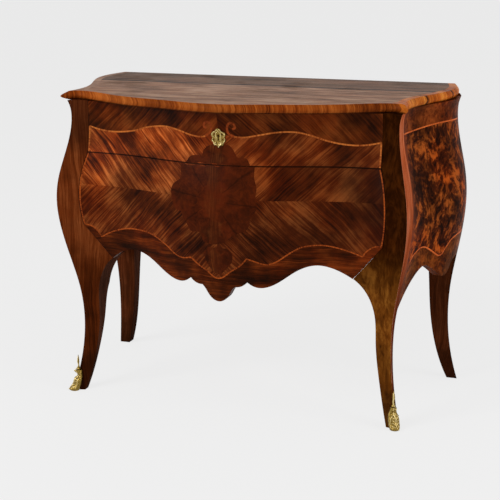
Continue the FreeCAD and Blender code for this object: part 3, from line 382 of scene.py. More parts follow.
class StringBands(Effect):
    """Short end-grain bands along an inlaid string line."""

    name = "string_bands"
    takes = {"Run": "Float", "Pale": "Color", "Burnt": "Color"}
    gives = {"Color": "Color"}

    def build(self, bench: NodeBench, given: NodeOutputs) -> dict[str, object]:
        """Lay out the bands."""
        bands = bench.noise(bench.point(bench.scaled(given["Run"], 170.0), 0.0, 0.0), detail=3.0)
        reach = bench.noise(bench.point(bench.scaled(given["Run"], 14.0), 3.0, 0.0), detail=2.0)
        value = bench.total((reach, 0.4), (bands, 0.6))
        return {"Color": bench.tint(given["Burnt"], given["Pale"], value, 0.36, 0.62)}


class Effects:
    """The node groups that the finishes share."""

    def __init__(self) -> None:
        """Build each group once."""
        self.veneer = StreakedVeneer()
        self.burr = BurrFigure()
        self.chevrons = ChevronLeaves()
        self.polish = OldPolish()
        self.gilt = GiltAge()
        self.bands = StringBands()


class Lay(Enum):
    """Which way the fibres of a board run."""

    LENGTHWISE = 0
    DEEP = 1


@dataclass(frozen=True)
class WoodTones:
    """The colours of one wood."""

    dark: Colour
    middle: Colour
    light: Colour

    def sockets(self) -> dict[str, Colour]:
        """Give the colours by the names of the groups' sockets."""
        return dict(zip(WOOD_SOCKETS, (self.dark, self.middle, self.light)))


class CoatBench(NodeBench):
    """A bench in one material, with the shared effects and the place on the piece."""

    def __init__(self, tree: NodeTree, effects: Effects) -> None:
        """Take the material's tree and the effects.

        Args:
            tree: The material's empty tree.
            effects: The shared effects.
        """
        super().__init__(tree)
        self.effects = effects
        self.place = self.add("TexCoord").outputs["Object"]

    def drawn(self, upright: float) -> NodeSocket:
        """Give the place with its height scaled, so that figures on it grow or shrink upright."""
        inputs = {0: self.place, 1: (1.0, 1.0, upright)}
        return self.add("VectorMath", inputs, operation="MULTIPLY").outputs[0]

    def facing(self) -> tuple[NodeSocket, ...]:
        """Give which way the surface faces, as three numbers."""
        return self.axes(self.add("NewGeometry").outputs["Normal"])

    def veneer(self, tones: WoodTones, along: object, across: object, leaf: object, streaks: float,
               contrast: object, clouds: float = PLAIN_CLOUDS) -> NodeOutputs:
        """Lay streaked veneer whose fibres run along one number and stand side by side across another."""
        return self.effects.veneer.place(self, Along=along, Across=across, Leaf=leaf, Streaks=streaks,
                                         Contrast=contrast, Clouds=clouds, **tones.sockets())

    def burr(self, tones: WoodTones, place: object, lumps: float, contrast: float) -> NodeOutputs:
        """Lay burr with so many lumps in a metre."""
        return self.effects.burr.place(self, Place=place, Lumps=lumps, Contrast=contrast, **tones.sockets())


@dataclass(frozen=True)
class Finish:
    """What every finish does: lay its coat, and close the material with one shader."""

    name: str
    fading = 0.2
    rough = 0.34
    gloss = 0.03
    metallic = 0.0
    depth = FIBRE_DEPTH

    def coat(self, bench: CoatBench) -> Coat:
        """Lay out what the shader takes.

        Args:
            bench: The material's bench.

        Returns:
            The colour, the roughness and the height that the bump follows.
        """
        raise NotImplementedError

    def aged(self, bench: CoatBench, colour: object, height: object) -> Coat:
        """Give a wood its uneven old polish."""
        old = bench.effects.polish.place(bench, Color=colour, Place=bench.place, Fading=self.fading,
                                         Rough=self.rough)
        return old["Color"], old["Roughness"], height

    def material(self, effects: Effects) -> Material:
        """Build the material.

        Args:
            effects: The shared effects.

        Returns:
            The material.
        """
        material = bpy.data.materials.new(self.name)
        bench = CoatBench(fresh_tree(material), effects)
        colour, roughness, height = self.coat(bench)
        bump = bench.add("Bump", {"Height": height, "Distance": self.depth, "Strength": BUMP_STRENGTH})
        shader = bench.add("BsdfPrincipled", {
            "Base Color": colour,
            "Roughness": roughness,
            "Normal": bump.outputs[0],
            "Specular IOR Level": self.gloss,
            "Metallic": self.metallic,
        })
        bench.add("OutputMaterial", {"Surface": shader.outputs[0]})
        return material


@dataclass(frozen=True)
class PlainWood(Finish):
    """A board or veneer whose fibres all run one way, perhaps with a dark joint along it, widened by painted
    shadow.
    """

    tones: WoodTones
    lay: Lay
    streaks: float
    contrast: float
    rough: float
    fading: float
    leaf: float = 0.0
    gloss: float = 0.06
    clouds: float = PLAIN_CLOUDS
    joint: float | None = None
    joint_wander = 0.02
    joint_dirt_and_shadow = tone(36, 19, 9)

    def coat(self, bench: CoatBench) -> Coat:
        """Lay out the fibres and the joint, which is partly a dark joint and partly painted shadow."""
        parts = bench.axes(bench.place)
        across = bench.math("ADD", *(part for part in parts if part != parts[self.lay.value]))
        wood = bench.veneer(self.tones, parts[self.lay.value], across, self.leaf, self.streaks,
                            self.contrast, self.clouds)
        colour = wood["Color"]
        if self.joint is not None:
            line = bench.ragged(parts[1], bench.place, scale=9.0, reach=self.joint_wander)
            off = bench.apart(line, self.joint + self.joint_wander / 2)
            # a wide dark band along the joint: partly a dark joint, partly painted shadow
            colour = bench.tint(colour, self.joint_dirt_and_shadow, off, 13 * MM, 6 * MM, 0.95)
        return self.aged(bench, colour, wood["Fibre"])


@dataclass(frozen=True)
class BandedEdge(Finish):
    """A cross-banded edge whose upper face may be worn to the tone of the boards beside it."""

    band: WoodTones
    boards: WoodTones
    worn: float
    cracks: tuple[float, ...] = ()
    floor: float = 0.8955
    fading = 0.25
    rough = 0.36
    gloss = 0.02
    under_shadow_tone = tone(24, 9, 4)
    crack_dirt = tone(26, 10, 4)

    def coat(self, bench: CoatBench) -> Coat:
        """Lay out the band, its worn face, a painted shadow along its underside and its cracks."""
        wide, deep, high = bench.axes(bench.place)
        around = bench.math("ADD", wide, deep)
        band = bench.veneer(self.band, high, around, leaf=3.7, streaks=210.0, contrast=4.6, clouds=1.8)
        boards = bench.veneer(self.boards, wide, deep, leaf=2.2, streaks=60.0, contrast=3.0)
        colour = bench.tint(band["Color"], boards["Color"], bench.facing()[2], 0.7, 0.95, self.worn)
        # painted shadow under the overhanging edge, darkest at its lowest
        colour = bench.tint(colour, self.under_shadow_tone, high, self.floor + 4 * MM, self.floor, 0.8)
        ragged = bench.ragged(deep, bench.place, scale=60.0, reach=0.02)
        for crack in self.cracks:
            colour = bench.tint(colour, self.crack_dirt, bench.apart(ragged, crack), 7.5 * MM, 3 * MM, 0.85)
        return self.aged(bench, colour, band["Fibre"])


@dataclass(frozen=True)
class PostWood(Finish):
    """A post with its leg: its stile, its leg, its outer flank and its bare inner faces differ."""

    stile: WoodTones
    leg: WoodTones
    flank: WoodTones
    outward: float
    leaf: float
    leg_top: float = 0.6
    leg_start: float = 0.4
    foot_top: float = 0.13
    mottled: bool = False
    top_shade: float = 0.0
    rough = 0.36
    gloss = 0.0
    top_tone = tone(44, 20, 12)
    low_flank = tone(62, 27, 18)
    foot_darkening = tone(34, 16, 7)

    def coat(self, bench: CoatBench) -> Coat:
        """Lay out the woods, parted by their heights and by the way that they face."""
        wide, deep, high = bench.axes(bench.place)
        across = bench.math("ADD", wide, deep)
        ragged = bench.ragged(high, bench.place, scale=18.0, reach=0.12)
        drawn = bench.drawn(0.4)
        colours = []
        for tones in (self.stile, self.leg, self.flank, BARE_WOOD):
            if self.mottled and len(colours) < 2:
                wood = bench.burr(tones, drawn, lumps=30.0, contrast=2.6)
            else:
                wood = bench.veneer(tones, high, across, self.leaf, streaks=120.0, contrast=3.2)
            colours.append(wood["Color"])
        stile, leg, flank, bare = colours
        colour = bench.tint(stile, leg, ragged, self.leg_top, self.leg_start)
        colour = bench.tint(colour, self.top_tone, ragged, 0.77, 0.86, self.top_shade)
        facing = bench.facing()
        outer = bench.scaled(facing[0], self.outward)
        # low on the flank the painted sheen gives way to a darker tone
        flank = bench.tint(flank, self.low_flank, ragged, 0.7, 0.34, 0.8)
        colour = bench.tint(colour, flank, outer, 0.45, 0.62)
        inner = bench.math("MAXIMUM", bench.spread(outer, -0.5, -0.7), bench.spread(facing[1], 0.6, 0.8))
        colour = bench.blend(inner, colour, bare)
        # darker towards the foot
        colour = bench.tint(colour, self.foot_darkening, ragged, self.foot_top + 0.06, self.foot_top, 0.6)
        return self.aged(bench, colour, wood["Fibre"])


@dataclass(frozen=True)
class LineMask:
    """A mask that parts a face along an inlaid line, which runs between a low and a high level."""

    line: Sequence[Point]
    low: float
    high: float

    def past(self, bench: NodeBench, across: object, high: object, above: bool) -> NodeSocket:
        """Mask one side of the line.

        Args:
            bench: Where the nodes are added.
            across: The place along the face.
            high: The place's height.
            above: Whether the upper side is masked, or else the lower one.

        Returns:
            The mask.
        """
        first, last = self.line[0][0], self.line[-1][0]
        share = bench.add("MapRange", {"Value": across, "From Min": first, "From Max": last}).outputs[0]
        node = bench.add("FloatCurve", {"Value": share})
        curve = node.mapping.curves[0]
        for number, (place, level) in enumerate(self.line):
            spot = ((place - first) / (last - first), (level - self.low) / (self.high - self.low))
            if number in (0, len(self.line) - 1):
                curve.points[0 if number == 0 else -1].location = spot
            else:
                curve.points.new(*spot)
        node.mapping.update()
        over = bench.minus(high, bench.scaled(node.outputs[0], self.high - self.low, self.low))
        soft = LINE_SOFTNESS if above else -LINE_SOFTNESS
        return bench.spread(over, -soft, soft)


@dataclass(frozen=True)
class LeafToneAndLight:
    """How light the four leaves of a drawer front are, from 0 for black: partly their own tone, partly
    painted light and shade from a lamp at the left.
    """

    upper_left: float
    lower_left: float
    upper_right: float
    lower_right: float

    def lay(self, bench: NodeBench, colour: object, wide: object, rise: object) -> NodeSocket:
        """Paint light and shade on a colour leaf by leaf, together with the leaves' own tone.

        Args:
            bench: Where the nodes are added.
            colour: The colour to shade.
            wide: The place from left to right.
            rise: The height over the line where the leaves meet.

        Returns:
            The shaded colour.
        """
        right = bench.spread(wide, -0.22, 0.22)
        upper = bench.between(right, self.upper_left, self.upper_right)
        lower = bench.between(right, self.lower_left, self.lower_right)
        shade = bench.between(bench.spread(rise, -0.03, 0.03), lower, upper)
        return bench.add("VectorMath", {0: colour, "Scale": shade}, operation="SCALE").outputs[0]


@dataclass(frozen=True)
class QuarteredFront(Finish):
    """A drawer front of four leaves laid to a point, with one more field past its inlaid line."""

    tones: WoodTones
    field_tones: WoodTones
    shades: LeafToneAndLight
    line: LineMask
    field_is_above: bool
    right_end_shadow: float = 0.0
    level: float = 0.648
    seam: float = 0.742
    streaks: float = 185.0
    contrast: float = 4.2
    calm: float = 2.9
    clouds: float = 2.1
    fading = 0.6
    right_end_shadow_tone = tone(30, 11, 6)
    seam_shadow_tone = tone(16, 6, 3)

    def coat(self, bench: CoatBench) -> Coat:
        """Lay out the leaves, the field past the line, and painted shadows at the right end and the seam."""
        wide, _, high = bench.axes(bench.place)
        leaves = bench.effects.chevrons.place(bench, Place=bench.place, Level=self.level)
        along, across, leaf = leaves["Along"], leaves["Across"], leaves["Leaf"]
        contrast = bench.spread(wide, -0.1, 0.35, self.contrast, self.calm)
        quarters = bench.veneer(self.tones, along, across, leaf, self.streaks, contrast, self.clouds)
        # leaf tone with painted light on the left leaves and painted shade on the right ones
        colour = self.shades.lay(bench, quarters["Color"], wide, bench.minus(high, self.level))
        # painted shadow darkening the right end of the front
        colour = bench.tint(colour, self.right_end_shadow_tone, wide, 0.36, 0.46, self.right_end_shadow)
        if self.field_is_above:
            beyond = bench.veneer(self.field_tones, across, along, leaf, self.streaks, contrast, self.clouds)
        else:
            beyond = bench.veneer(self.field_tones, wide, high, leaf=2.0, streaks=90.0, contrast=4.0,
                                  clouds=2.4)
        colour = bench.blend(self.line.past(bench, wide, high, self.field_is_above), colour, beyond["Color"])
        # painted shadow along the seam between the drawers
        colour = bench.tint(colour, self.seam_shadow_tone, bench.apart(high, self.seam), 2.8 * MM, 1.4 * MM, 0.75)
        return self.aged(bench, colour, quarters["Fibre"])


@dataclass(frozen=True)
class BurrSide(Finish):
    """A side panel: burr between two inlaid lines and other burr past them, worn at its front edge."""

    burr: WoodTones
    border: WoodTones
    apron: WoodTones
    top_line: LineMask
    bottom_line: LineMask
    worn: Colour
    front: float = -0.075
    margin: float = -0.035
    fading = 0.75
    rough = 0.36
    gloss = 0.01

    def coat(self, bench: CoatBench) -> Coat:
        """Lay out the three burrs and the worn edge."""
        _, deep, high = bench.axes(bench.place)
        drawn = bench.drawn(0.8)
        figure = bench.burr(self.burr, drawn, lumps=27.0, contrast=5.0)
        above = bench.burr(self.border, bench.place, lumps=17.0, contrast=4.0)
        below = bench.burr(self.apron, drawn, lumps=24.0, contrast=4.0)
        clouds = bench.noise(bench.place, scale=12.0)
        colour = bench.tint(figure["Color"], self.burr.dark, clouds, 0.47, 0.6, 0.62)
        colour = bench.blend(self.top_line.past(bench, deep, high, True), colour, above["Color"])
        colour = bench.blend(self.bottom_line.past(bench, deep, high, False), colour, below["Color"])
        edge = bench.ragged(deep, drawn, scale=30.0, reach=0.05)
        colour = bench.tint(colour, self.worn, edge, self.margin, self.front, 0.85)
        return self.aged(bench, colour, figure["Fibre"])


@dataclass(frozen=True)
class StringInlay(Finish):
    """A thin striped line let into the veneer."""

    pale: Colour
    burnt: Colour
    fading = 0.1
    depth = STRING_DEPTH

    def coat(self, bench: CoatBench) -> Coat:
        """Lay out the stripes along the line's run."""
        run = bench.axes(bench.add("UVMap", uv_map="run").outputs[0])[0]
        bands = bench.effects.bands.place(bench, Run=run, Pale=self.pale, Burnt=self.burnt)
        return self.aged(bench, bands["Color"], bench.noise(bench.place, scale=900.0))


@dataclass(frozen=True)
class MedallionWood(Finish):
    """Dark stained burr with reddish patches, faint petals and a streaked middle."""

    tones: WoodTones
    petal: Colour
    streaked: WoodTones
    middle: float = -0.012
    level: float = 0.645
    petals: int = 8

    def petal_lines(self, bench: NodeBench, wide: object, high: object, patches: object) -> NodeSocket:
        """Mask the faint joints between the petals, which spread from the middle.

        Args:
            bench: Where the nodes are added.
            wide: The place from left to right.
            high: The height.
            patches: A noise that breaks the joints up.

        Returns:
            The mask.
        """
        aside = bench.minus(wide, self.middle)
        rise = bench.minus(high, self.level)
        turn = bench.scaled(bench.math("ARCTAN2", rise, aside), self.petals / 2, patches)
        away = bench.math("SQRT", bench.scaled(aside, aside, bench.scaled(rise, rise)))
        joint = bench.spread(bench.math("ABSOLUTE", bench.math("SINE", turn)), 0.16, 0.03, 0.0, 0.6)
        return bench.scaled(joint, bench.spread(away, 0.03, 0.05))

    def coat(self, bench: CoatBench) -> Coat:
        """Lay out the burr, the petals and the middle."""
        wide, _, high = bench.axes(bench.place)
        burr = bench.burr(self.tones, bench.place, lumps=20.0, contrast=2.6)
        stem = bench.veneer(self.streaked, high, wide, leaf=7.3, streaks=190.0, contrast=5.0)
        patches = bench.noise(bench.place, scale=13.0, detail=4.0, roughness=0.6)
        colour = bench.tint(burr["Color"], self.petal, patches, 0.5, 0.66, 0.55)
        colour = bench.blend(self.petal_lines(bench, wide, high, patches), colour, self.tones.dark)
        off = bench.ragged(bench.apart(wide, self.middle), bench.place, scale=30.0, reach=0.09)
        colour = bench.tint(colour, stem["Color"], off, 0.072, 0.04, 0.6)
        return self.aged(bench, colour, burr["Fibre"])


@dataclass(frozen=True)
class Gilt(Finish):
    """Gilt brass, plain or with a cast relief that its mesh marks."""

    plain: bool = True
    gloss = 0.4
    metallic = 0.9
    depth = METAL_DEPTH

    def coat(self, bench: CoatBench) -> Coat:
        """Lay out the gilding."""
        if self.plain:
            relief = bench.spread(bench.noise(bench.place, scale=420.0), 0.3, 0.7, 0.12, 0.6)
        else:
            relief = bench.add("Attribute", attribute_name="relief").outputs["Fac"]
        age = bench.effects.gilt.place(bench, Place=bench.place, Relief=relief)
        return age["Color"], age["Roughness"], age["Grain"]


@dataclass(frozen=True)
class Iron(Finish):
    """Dark iron with a little rust."""

    colour: Colour
    metallic = 0.8
    depth = METAL_DEPTH
    rust_tone = tone(70, 44, 30)

    def coat(self, bench: CoatBench) -> Coat:
        """Lay out the rust."""
        rust = bench.noise(bench.place, scale=140.0, detail=5.0, roughness=0.7)
        colour = bench.tint(self.colour, self.rust_tone, rust, 0.45, 0.7)
        return colour, bench.spread(rust, 0.3, 0.8, 0.35, 0.7), rust


class Ground:
    """A face of the chest that thin pieces are laid on, looked at along one line."""

    reach: float = 2.0
    near: float = 0.85
    halvings: int = 24
    least: float = 0.5

    def __init__(self, nodes: Iterable[str], look: Vector) -> None:
        """Take the nodes that carry the pieces.

        Args:
            nodes: Names of the nodes.
            look: The direction in which the face is looked at.
        """
        corners: list[Vector] = []
        faces: list[list[int]] = []
        for name in nodes:
            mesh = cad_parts[name].data
            start = len(corners)
            corners.extend(vertex.co.copy() for vertex in mesh.vertices)
            faces.extend([start + corner for corner in face.vertices] for face in mesh.polygons)
        self.tree = BVHTree.FromPolygons(corners, faces)
        self.look = look

    def look_at(self, across: float) -> Vector:
        """Give the direction in which a place along the face is looked at."""
        return self.look

    def start(self, across: float, high: float) -> Vector:
        """Give the place in front of the face at which a look starts."""
        flat = (across, 0.0) if abs(self.look.y) > 0.5 else (0.0, across)
        return Vector((*flat, high)) - self.reach * self.look

    def hit(self, across: float, high: float) -> tuple[Vector | None, Vector | None]:
        """Find a place on the face and the way out of it, or None for both past its edge."""
        return self.tree.ray_cast(self.start(across, high), self.look_at(across))[:2]

    def place(self, across: float, high: float, lift: float) -> Vector:
        """Give a place on the face, lifted off it, or nearest to it past its edge.

        Args:
            across: The place along the face.
            high: The place's height.
            lift: How far it stands off the face.

        Returns:
            The place.
        """
        spot, way = self.hit(across, high)
        if spot is not None:
            return spot + lift * way
        look = self.look_at(across)
        spot = self.tree.find_nearest(self.start(across, high) + self.near * self.reach * look)[0]
        return spot - lift * look

    def faces(self, across: float, high: float) -> bool:
        """Tell whether a place on the face is turned to the looker."""
        spot, way = self.hit(across, high)
        return spot is not None and way.dot(-self.look_at(across)) > self.least

    def edge(self, high: float, inside: float, outside: float) -> float:
        """Find how far out the face reaches at a height.

        Args:
            high: The height.
            inside: A place on the face.
            outside: A place past its edge.

        Returns:
            The place of the edge.
        """
        for _ in range(self.halvings):
            middle = (inside + outside) / 2
            if self.hit(middle, high)[0] is None:
                outside = middle
            else:
                inside = middle
        return inside


class RoundGround(Ground):
    """The outside of a rounded piece, looked at from all round its middle line."""

    reach = 0.1

    def __init__(self, nodes: Iterable[str], middle: Point, facing: float, radius: float) -> None:
        """Take the nodes that carry the pieces.

        Args:
            nodes: Names of the nodes.
            middle: Where the upright middle line stands.
            facing: The angle at which the piece faces outward.
            radius: The radius that turns a place along the face into an angle.
        """
        self.middle = middle
        self.facing = facing
        self.radius = radius
        super().__init__(nodes, self.look_at(0.0))

    def look_at(self, across: float) -> Vector:
        """Give the direction in which a place along the face is looked at."""
        turn = self.facing + across / self.radius
        return Vector((-math.cos(turn), -math.sin(turn), 0.0))

    def start(self, across: float, high: float) -> Vector:
        """Give the place outside the face at which a look starts."""
        return Vector((*self.middle, high)) - self.reach * self.look_at(across)


def smooth_path(points: Sequence[Point], step: float) -> list[Vector]:
    """Run a smooth line through points.

    Args:
        points: The points, from one end to the other.
        step: About how far apart the line's own points are.

    Returns:
        Points on the line.
    """
    spots = [Vector((across, high, 0.0)) for across, high in points]
    ends = [2 * spots[0] - spots[1], *spots, 2 * spots[-1] - spots[-2]]
    path = [spots[0]]
    for before, first, second, after in zip(ends, ends[1:], ends[2:], ends[3:]):
        count = max(2, round((second - first).length / step) + 1)
        path.extend(interpolate_bezier(first, first + (second - before) / 6,
                                       second - (after - first) / 6, second, count)[1:])
    return path


def shown(places: Iterable[Point]) -> tuple[Point, ...]:
    """Turn places written in millimetres into metres."""
    return tuple((across * MM, high * MM) for across, high in places)


@dataclass
class LaidPiece:
    """A thin piece laid on a face of the chest."""

    name: str
    ground: Ground
    work: bmesh.types.BMesh = field(default_factory=bmesh.new, kw_only=True)

    def fill(self) -> None:
        """Build what isn't built yet; a piece that is built bit by bit has nothing to add."""

    def soften(self, mesh: Mesh) -> None:
        """Smooth the faces of the mesh where the piece is round; others stay flat."""

    def skin(self, rings: Sequence[Sequence[bmesh.types.BMVert]]) -> list[bmesh.types.BMFace]:
        """Close a skin round rings of corners, and shut both ends.

        Args:
            rings: The rings, one after the other.

        Returns:
            The faces between the rings, ring by ring.
        """
        faces = []
        for first, second in zip(rings, rings[1:]):
            for corner in range(len(first)):
                after = (corner + 1) % len(first)
                corners = (first[corner], first[after], second[after], second[corner])
                faces.append(self.work.faces.new(corners))
        self.work.faces.new(rings[0])
        self.work.faces.new(rings[-1])
        return faces

    def lay(self, body: str, slot: str, material: Material) -> None:
        """Build the piece, let it ride on a body and give it its finish.

        Args:
            body: The body that it moves with.
            slot: The record's slot that its finish belongs to; not used.
            material: The finish.
        """
        self.fill()
        bmesh.ops.recalc_face_normals(self.work, faces=self.work.faces)
        mesh = bpy.data.meshes.new(self.name)
        self.work.to_mesh(mesh)
        self.work.free()
        self.soften(mesh)
        mesh.materials.append(material)
        piece = add_object(self.name, mesh)
        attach(piece, body)
        LOG.info("%s: %d faces, rides on %s", self.name, len(mesh.polygons), body)


@dataclass
class StringWork(LaidPiece):
    """Inlaid string lines on one face: thin closed strips, with the run along each line as their map."""

    runs: list[list[Vector]]
    width: float = 3.8 * MM
    proud: float = 0.18 * MM
    sunk: float = 0.6 * MM

    def fill(self) -> None:
        """Build the strips."""
        lengths = self.work.loops.layers.uv.new("run")
        for run in self.runs:
            self.add_strip(lengths, run)

    def add_strip(self, lengths: bmesh.types.BMLayerItem, run: Sequence[Vector]) -> None:
        """Add one strip.

        Args:
            lengths: The map that takes the run along the line.
            run: Points on the middle of the line.
        """
        profile = ((1, self.proud), (-1, self.proud), (-1, -self.sunk), (1, -self.sunk))
        rings = []
        marks = []
        gone = 0.0
        for number, spot in enumerate(run):
            before = run[max(number - 1, 0)]
            gone += (spot - before).length
            marks.append(gone)
            way = (run[min(number + 1, len(run) - 1)] - before).normalized()
            side = Vector((-way.y, way.x, 0.0)) * self.width / 2
            ring = []
            for shift, lift in profile:
                place = spot + shift * side
                ring.append(self.work.verts.new(self.ground.place(place.x, place.y, lift)))
            rings.append(ring)
        for number, face in enumerate(self.skin(rings)):
            start, corner = divmod(number, len(profile))
            for loop, mark in zip(face.loops, (0, 0, 1, 1)):
                loop[lengths].uv = (marks[start + mark], corner / len(profile))


@dataclass
class VeneerSheet(LaidPiece):
    """A piece of veneer of any outline: a thin closed solid that follows a face."""

    outline: list[Vector]
    spacing: float = 6 * MM
    proud: float = 0.2 * MM
    sunk: float = 0.5 * MM
    sharp: float = math.radians(40)

    def grid(self) -> tuple[list[Vector], list[list[int]]]:
        """Fill the outline with an even grid.

        Returns:
            The grid's places and its faces.
        """
        rim = [Vector((spot.x, spot.y)) for spot in self.outline]
        closing = rim[0] - rim[-1]
        steps = max(1, round(closing.length / self.spacing))
        rim.extend(rim[-1] + closing * (step / steps) for step in range(1, steps))
        lows = (min(spot.x for spot in rim), min(spot.y for spot in rim))
        highs = (max(spot.x for spot in rim), max(spot.y for spot in rim))
        columns, rows = (int((high - low) / self.spacing) for low, high in zip(lows, highs))
        inner = [Vector((lows[0] + column * self.spacing, lows[1] + row * self.spacing))
                 for row in range(1, rows) for column in range(1, columns)]
        spots, _, faces, *_ = delaunay_2d_cdt(rim + inner, [], [list(range(len(rim)))], 1, 1e-6)
        return spots, faces

    def fill(self) -> None:
        """Build the upper face, the lower face and the rim between them."""
        spots, faces = self.grid()
        upper, lower = ([self.work.verts.new(self.ground.place(spot.x, spot.y, lift)) for spot in spots]
                        for lift in (self.proud, -self.sunk))
        for face in faces:
            self.work.faces.new([upper[corner] for corner in face])
            self.work.faces.new([lower[corner] for corner in reversed(face)])
        for edge in [edge for edge in self.work.edges if len(edge.link_faces) == 1]:
            if edge.verts[0] in upper:
                first, second = (upper.index(vertex) for vertex in edge.verts)
                self.work.faces.new((upper[first], upper[second], lower[second], lower[first]))
        loose = [vertex for vertex in self.work.verts if not vertex.link_faces]
        bmesh.ops.delete(self.work, geom=loose, context="VERTS")

    def soften(self, mesh: Mesh) -> None:
        """Smooth the face of the sheet and keep its rim sharp."""
        mesh.shade_smooth()
        mesh.set_sharp_from_angle(angle=self.sharp)


@dataclass
class CastRelief(LaidPiece):
    """Raised ornament of a gilt mount: ribs and beads, with the height of the relief marked from 0 to 1."""

    sides: int = 8
    step: float = 1.5 * MM
    raised: float = 0.2
    mark_middle: float = 0.5
    mark_reach: float = 0.42

    def __post_init__(self) -> None:
        """Start the mark that tells the crests from the hollows."""
        self.marks = self.work.verts.layers.float.new("relief")

    def rib(self, points: Sequence[Point], thick: float, ends: float = 0.4) -> None:
        """Raise a rib along a line.

        Args:
            points: Places on the line, across and up.
            thick: The rib's radius at its middle.
            ends: The share of that radius at its ends.
        """
        run = smooth_path(points, self.step)
        spots = [self.ground.place(spot.x, spot.y, self.raised * thick) for spot in run]
        last = len(spots) - 1
        rings = []
        for number, spot in enumerate(spots):
            way = (spots[min(number + 1, last)] - spots[max(number - 1, 0)]).normalized()
            side = way.cross(-self.ground.look_at(run[number].x)).normalized()
            out = side.cross(way)
            size = thick * (ends + (1 - ends) * math.sin(math.pi * number / last))
            ring = []
            for corner in range(self.sides):
                turn = 2 * math.pi * corner / self.sides
                vertex = self.work.verts.new(spot + size * (math.cos(turn) * side + math.sin(turn) * out))
                vertex[self.marks] = self.mark_middle + self.mark_reach * math.sin(turn)
                ring.append(vertex)
            rings.append(ring)
        self.skin(rings)

    def bead(self, spot: Point, size: float) -> None:
        """Raise a round bead.

        Args:
            spot: Where it stands, across and up.
            size: Its radius.
        """
        middle = self.ground.place(*spot, self.raised * size)
        out = -self.ground.look_at(spot[0])
        made = bmesh.ops.create_icosphere(self.work, subdivisions=2, radius=size,
                                          matrix=Matrix.Translation(middle))
        for vertex in made["verts"]:
            vertex[self.marks] = self.mark_middle + self.mark_reach * (vertex.co - middle).dot(out) / size

    def both(self, points: Sequence[Point], thick: float) -> None:
        """Raise a rib and its mirror image, or two beads where only one place is given.

        Args:
            points: Places on the right-hand line, or the one place of a bead.
            thick: The radius.
        """
        for side in (1, -1):
            places = [(side * across, high) for across, high in points]
            if len(places) == 1:
                self.bead(places[0], thick)
            else:
                self.rib(places, thick)

    def soften(self, mesh: Mesh) -> None:
        """Smooth the whole ornament."""
        mesh.shade_smooth()


def coat_nodes(material: Material, *names: str) -> None:
    """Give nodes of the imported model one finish.

    Args:
        material: The finish.
        *names: The nodes' names.
    """
    for name in names:
        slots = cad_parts[name].data.materials
        slots.clear()
        slots.append(material)
        LOG.info("%s: %s", name, material.name)


def tones_of(*shades: tuple[int, int, int]) -> WoodTones:
    """Give a wood its dark, middle and light colours as a screen shows them."""
    return WoodTones(*(tone(*shade) for shade in shades))


# Its light tone is paled towards tan, partly as painted sheen on the brightest streaks.
KINGWOOD = tones_of((40, 13, 4), (110, 45, 13), (180, 98, 46))
DEEP_KINGWOOD = tones_of((30, 10, 2), (80, 32, 6), (130, 64, 24))
APRON_WOOD = tones_of((30, 10, 2), (72, 26, 4), (122, 54, 16))
STAINED_BURR = tones_of((38, 12, 2), (66, 23, 5), (94, 36, 9))
STEM_WOOD = tones_of((44, 17, 4), (86, 38, 12), (132, 70, 30))
SIDE_BURR = tones_of((28, 10, 4), (78, 32, 10), (172, 86, 32))
SIDE_BORDER = tones_of((44, 16, 4), (96, 40, 12), (142, 68, 27))
SIDE_APRON = tones_of((36, 14, 3), (84, 41, 12), (134, 72, 28))
EDGE_BAND = tones_of((84, 32, 6), (142, 66, 18), (182, 100, 39))
PALE_BAND = tones_of((116, 46, 5), (196, 98, 28), (232, 146, 60))
TOP_BOARDS = tones_of((90, 56, 34), (148, 106, 78), (194, 156, 130))
TOP_REAR = tones_of((66, 42, 25), (106, 73, 50), (136, 100, 75))
INNER_WOOD = tones_of((112, 80, 52), (152, 116, 80), (182, 148, 108))
LEFT_STILE = tones_of((50, 18, 5), (104, 46, 17), (150, 80, 40))
LEFT_LEG = tones_of((40, 15, 4), (80, 33, 10), (112, 54, 22))
RIGHT_STILE = tones_of((18, 6, 1), (44, 18, 3), (78, 38, 9))
RIGHT_LEG = tones_of((52, 24, 5), (108, 60, 17), (160, 102, 38))
# The flank's tones are partly its wood and partly painted sheen of light grazing the post's side.
FLANK_WITH_SHEEN = tones_of((100, 42, 20), (178, 86, 48), (226, 142, 104))
BARE_WOOD = tones_of((48, 26, 18), (84, 52, 40), (112, 74, 58))
REAR_LEG = tones_of((40, 17, 7), (80, 38, 18), (114, 62, 36))

MEDALLION_FINISH = MedallionWood("medallion_wood", STAINED_BURR, tone(96, 34, 9), STEM_WOOD)
UPPER_STRING = StringInlay("upper_string", tone(208, 118, 52), tone(122, 50, 19))
CURL_STRING = StringInlay("curl_string", tone(150, 66, 26), tone(108, 44, 16))
LOWER_STRING = StringInlay("lower_string", tone(178, 84, 31), tone(92, 34, 12))
SIDE_STRING = StringInlay("side_string", tone(226, 112, 48), tone(168, 72, 30))
# a worn edge with a painted highlight along the arris
ARRIS_WEAR_AND_SHEEN = StringInlay("arris_wood", tone(208, 126, 84), tone(172, 88, 50))

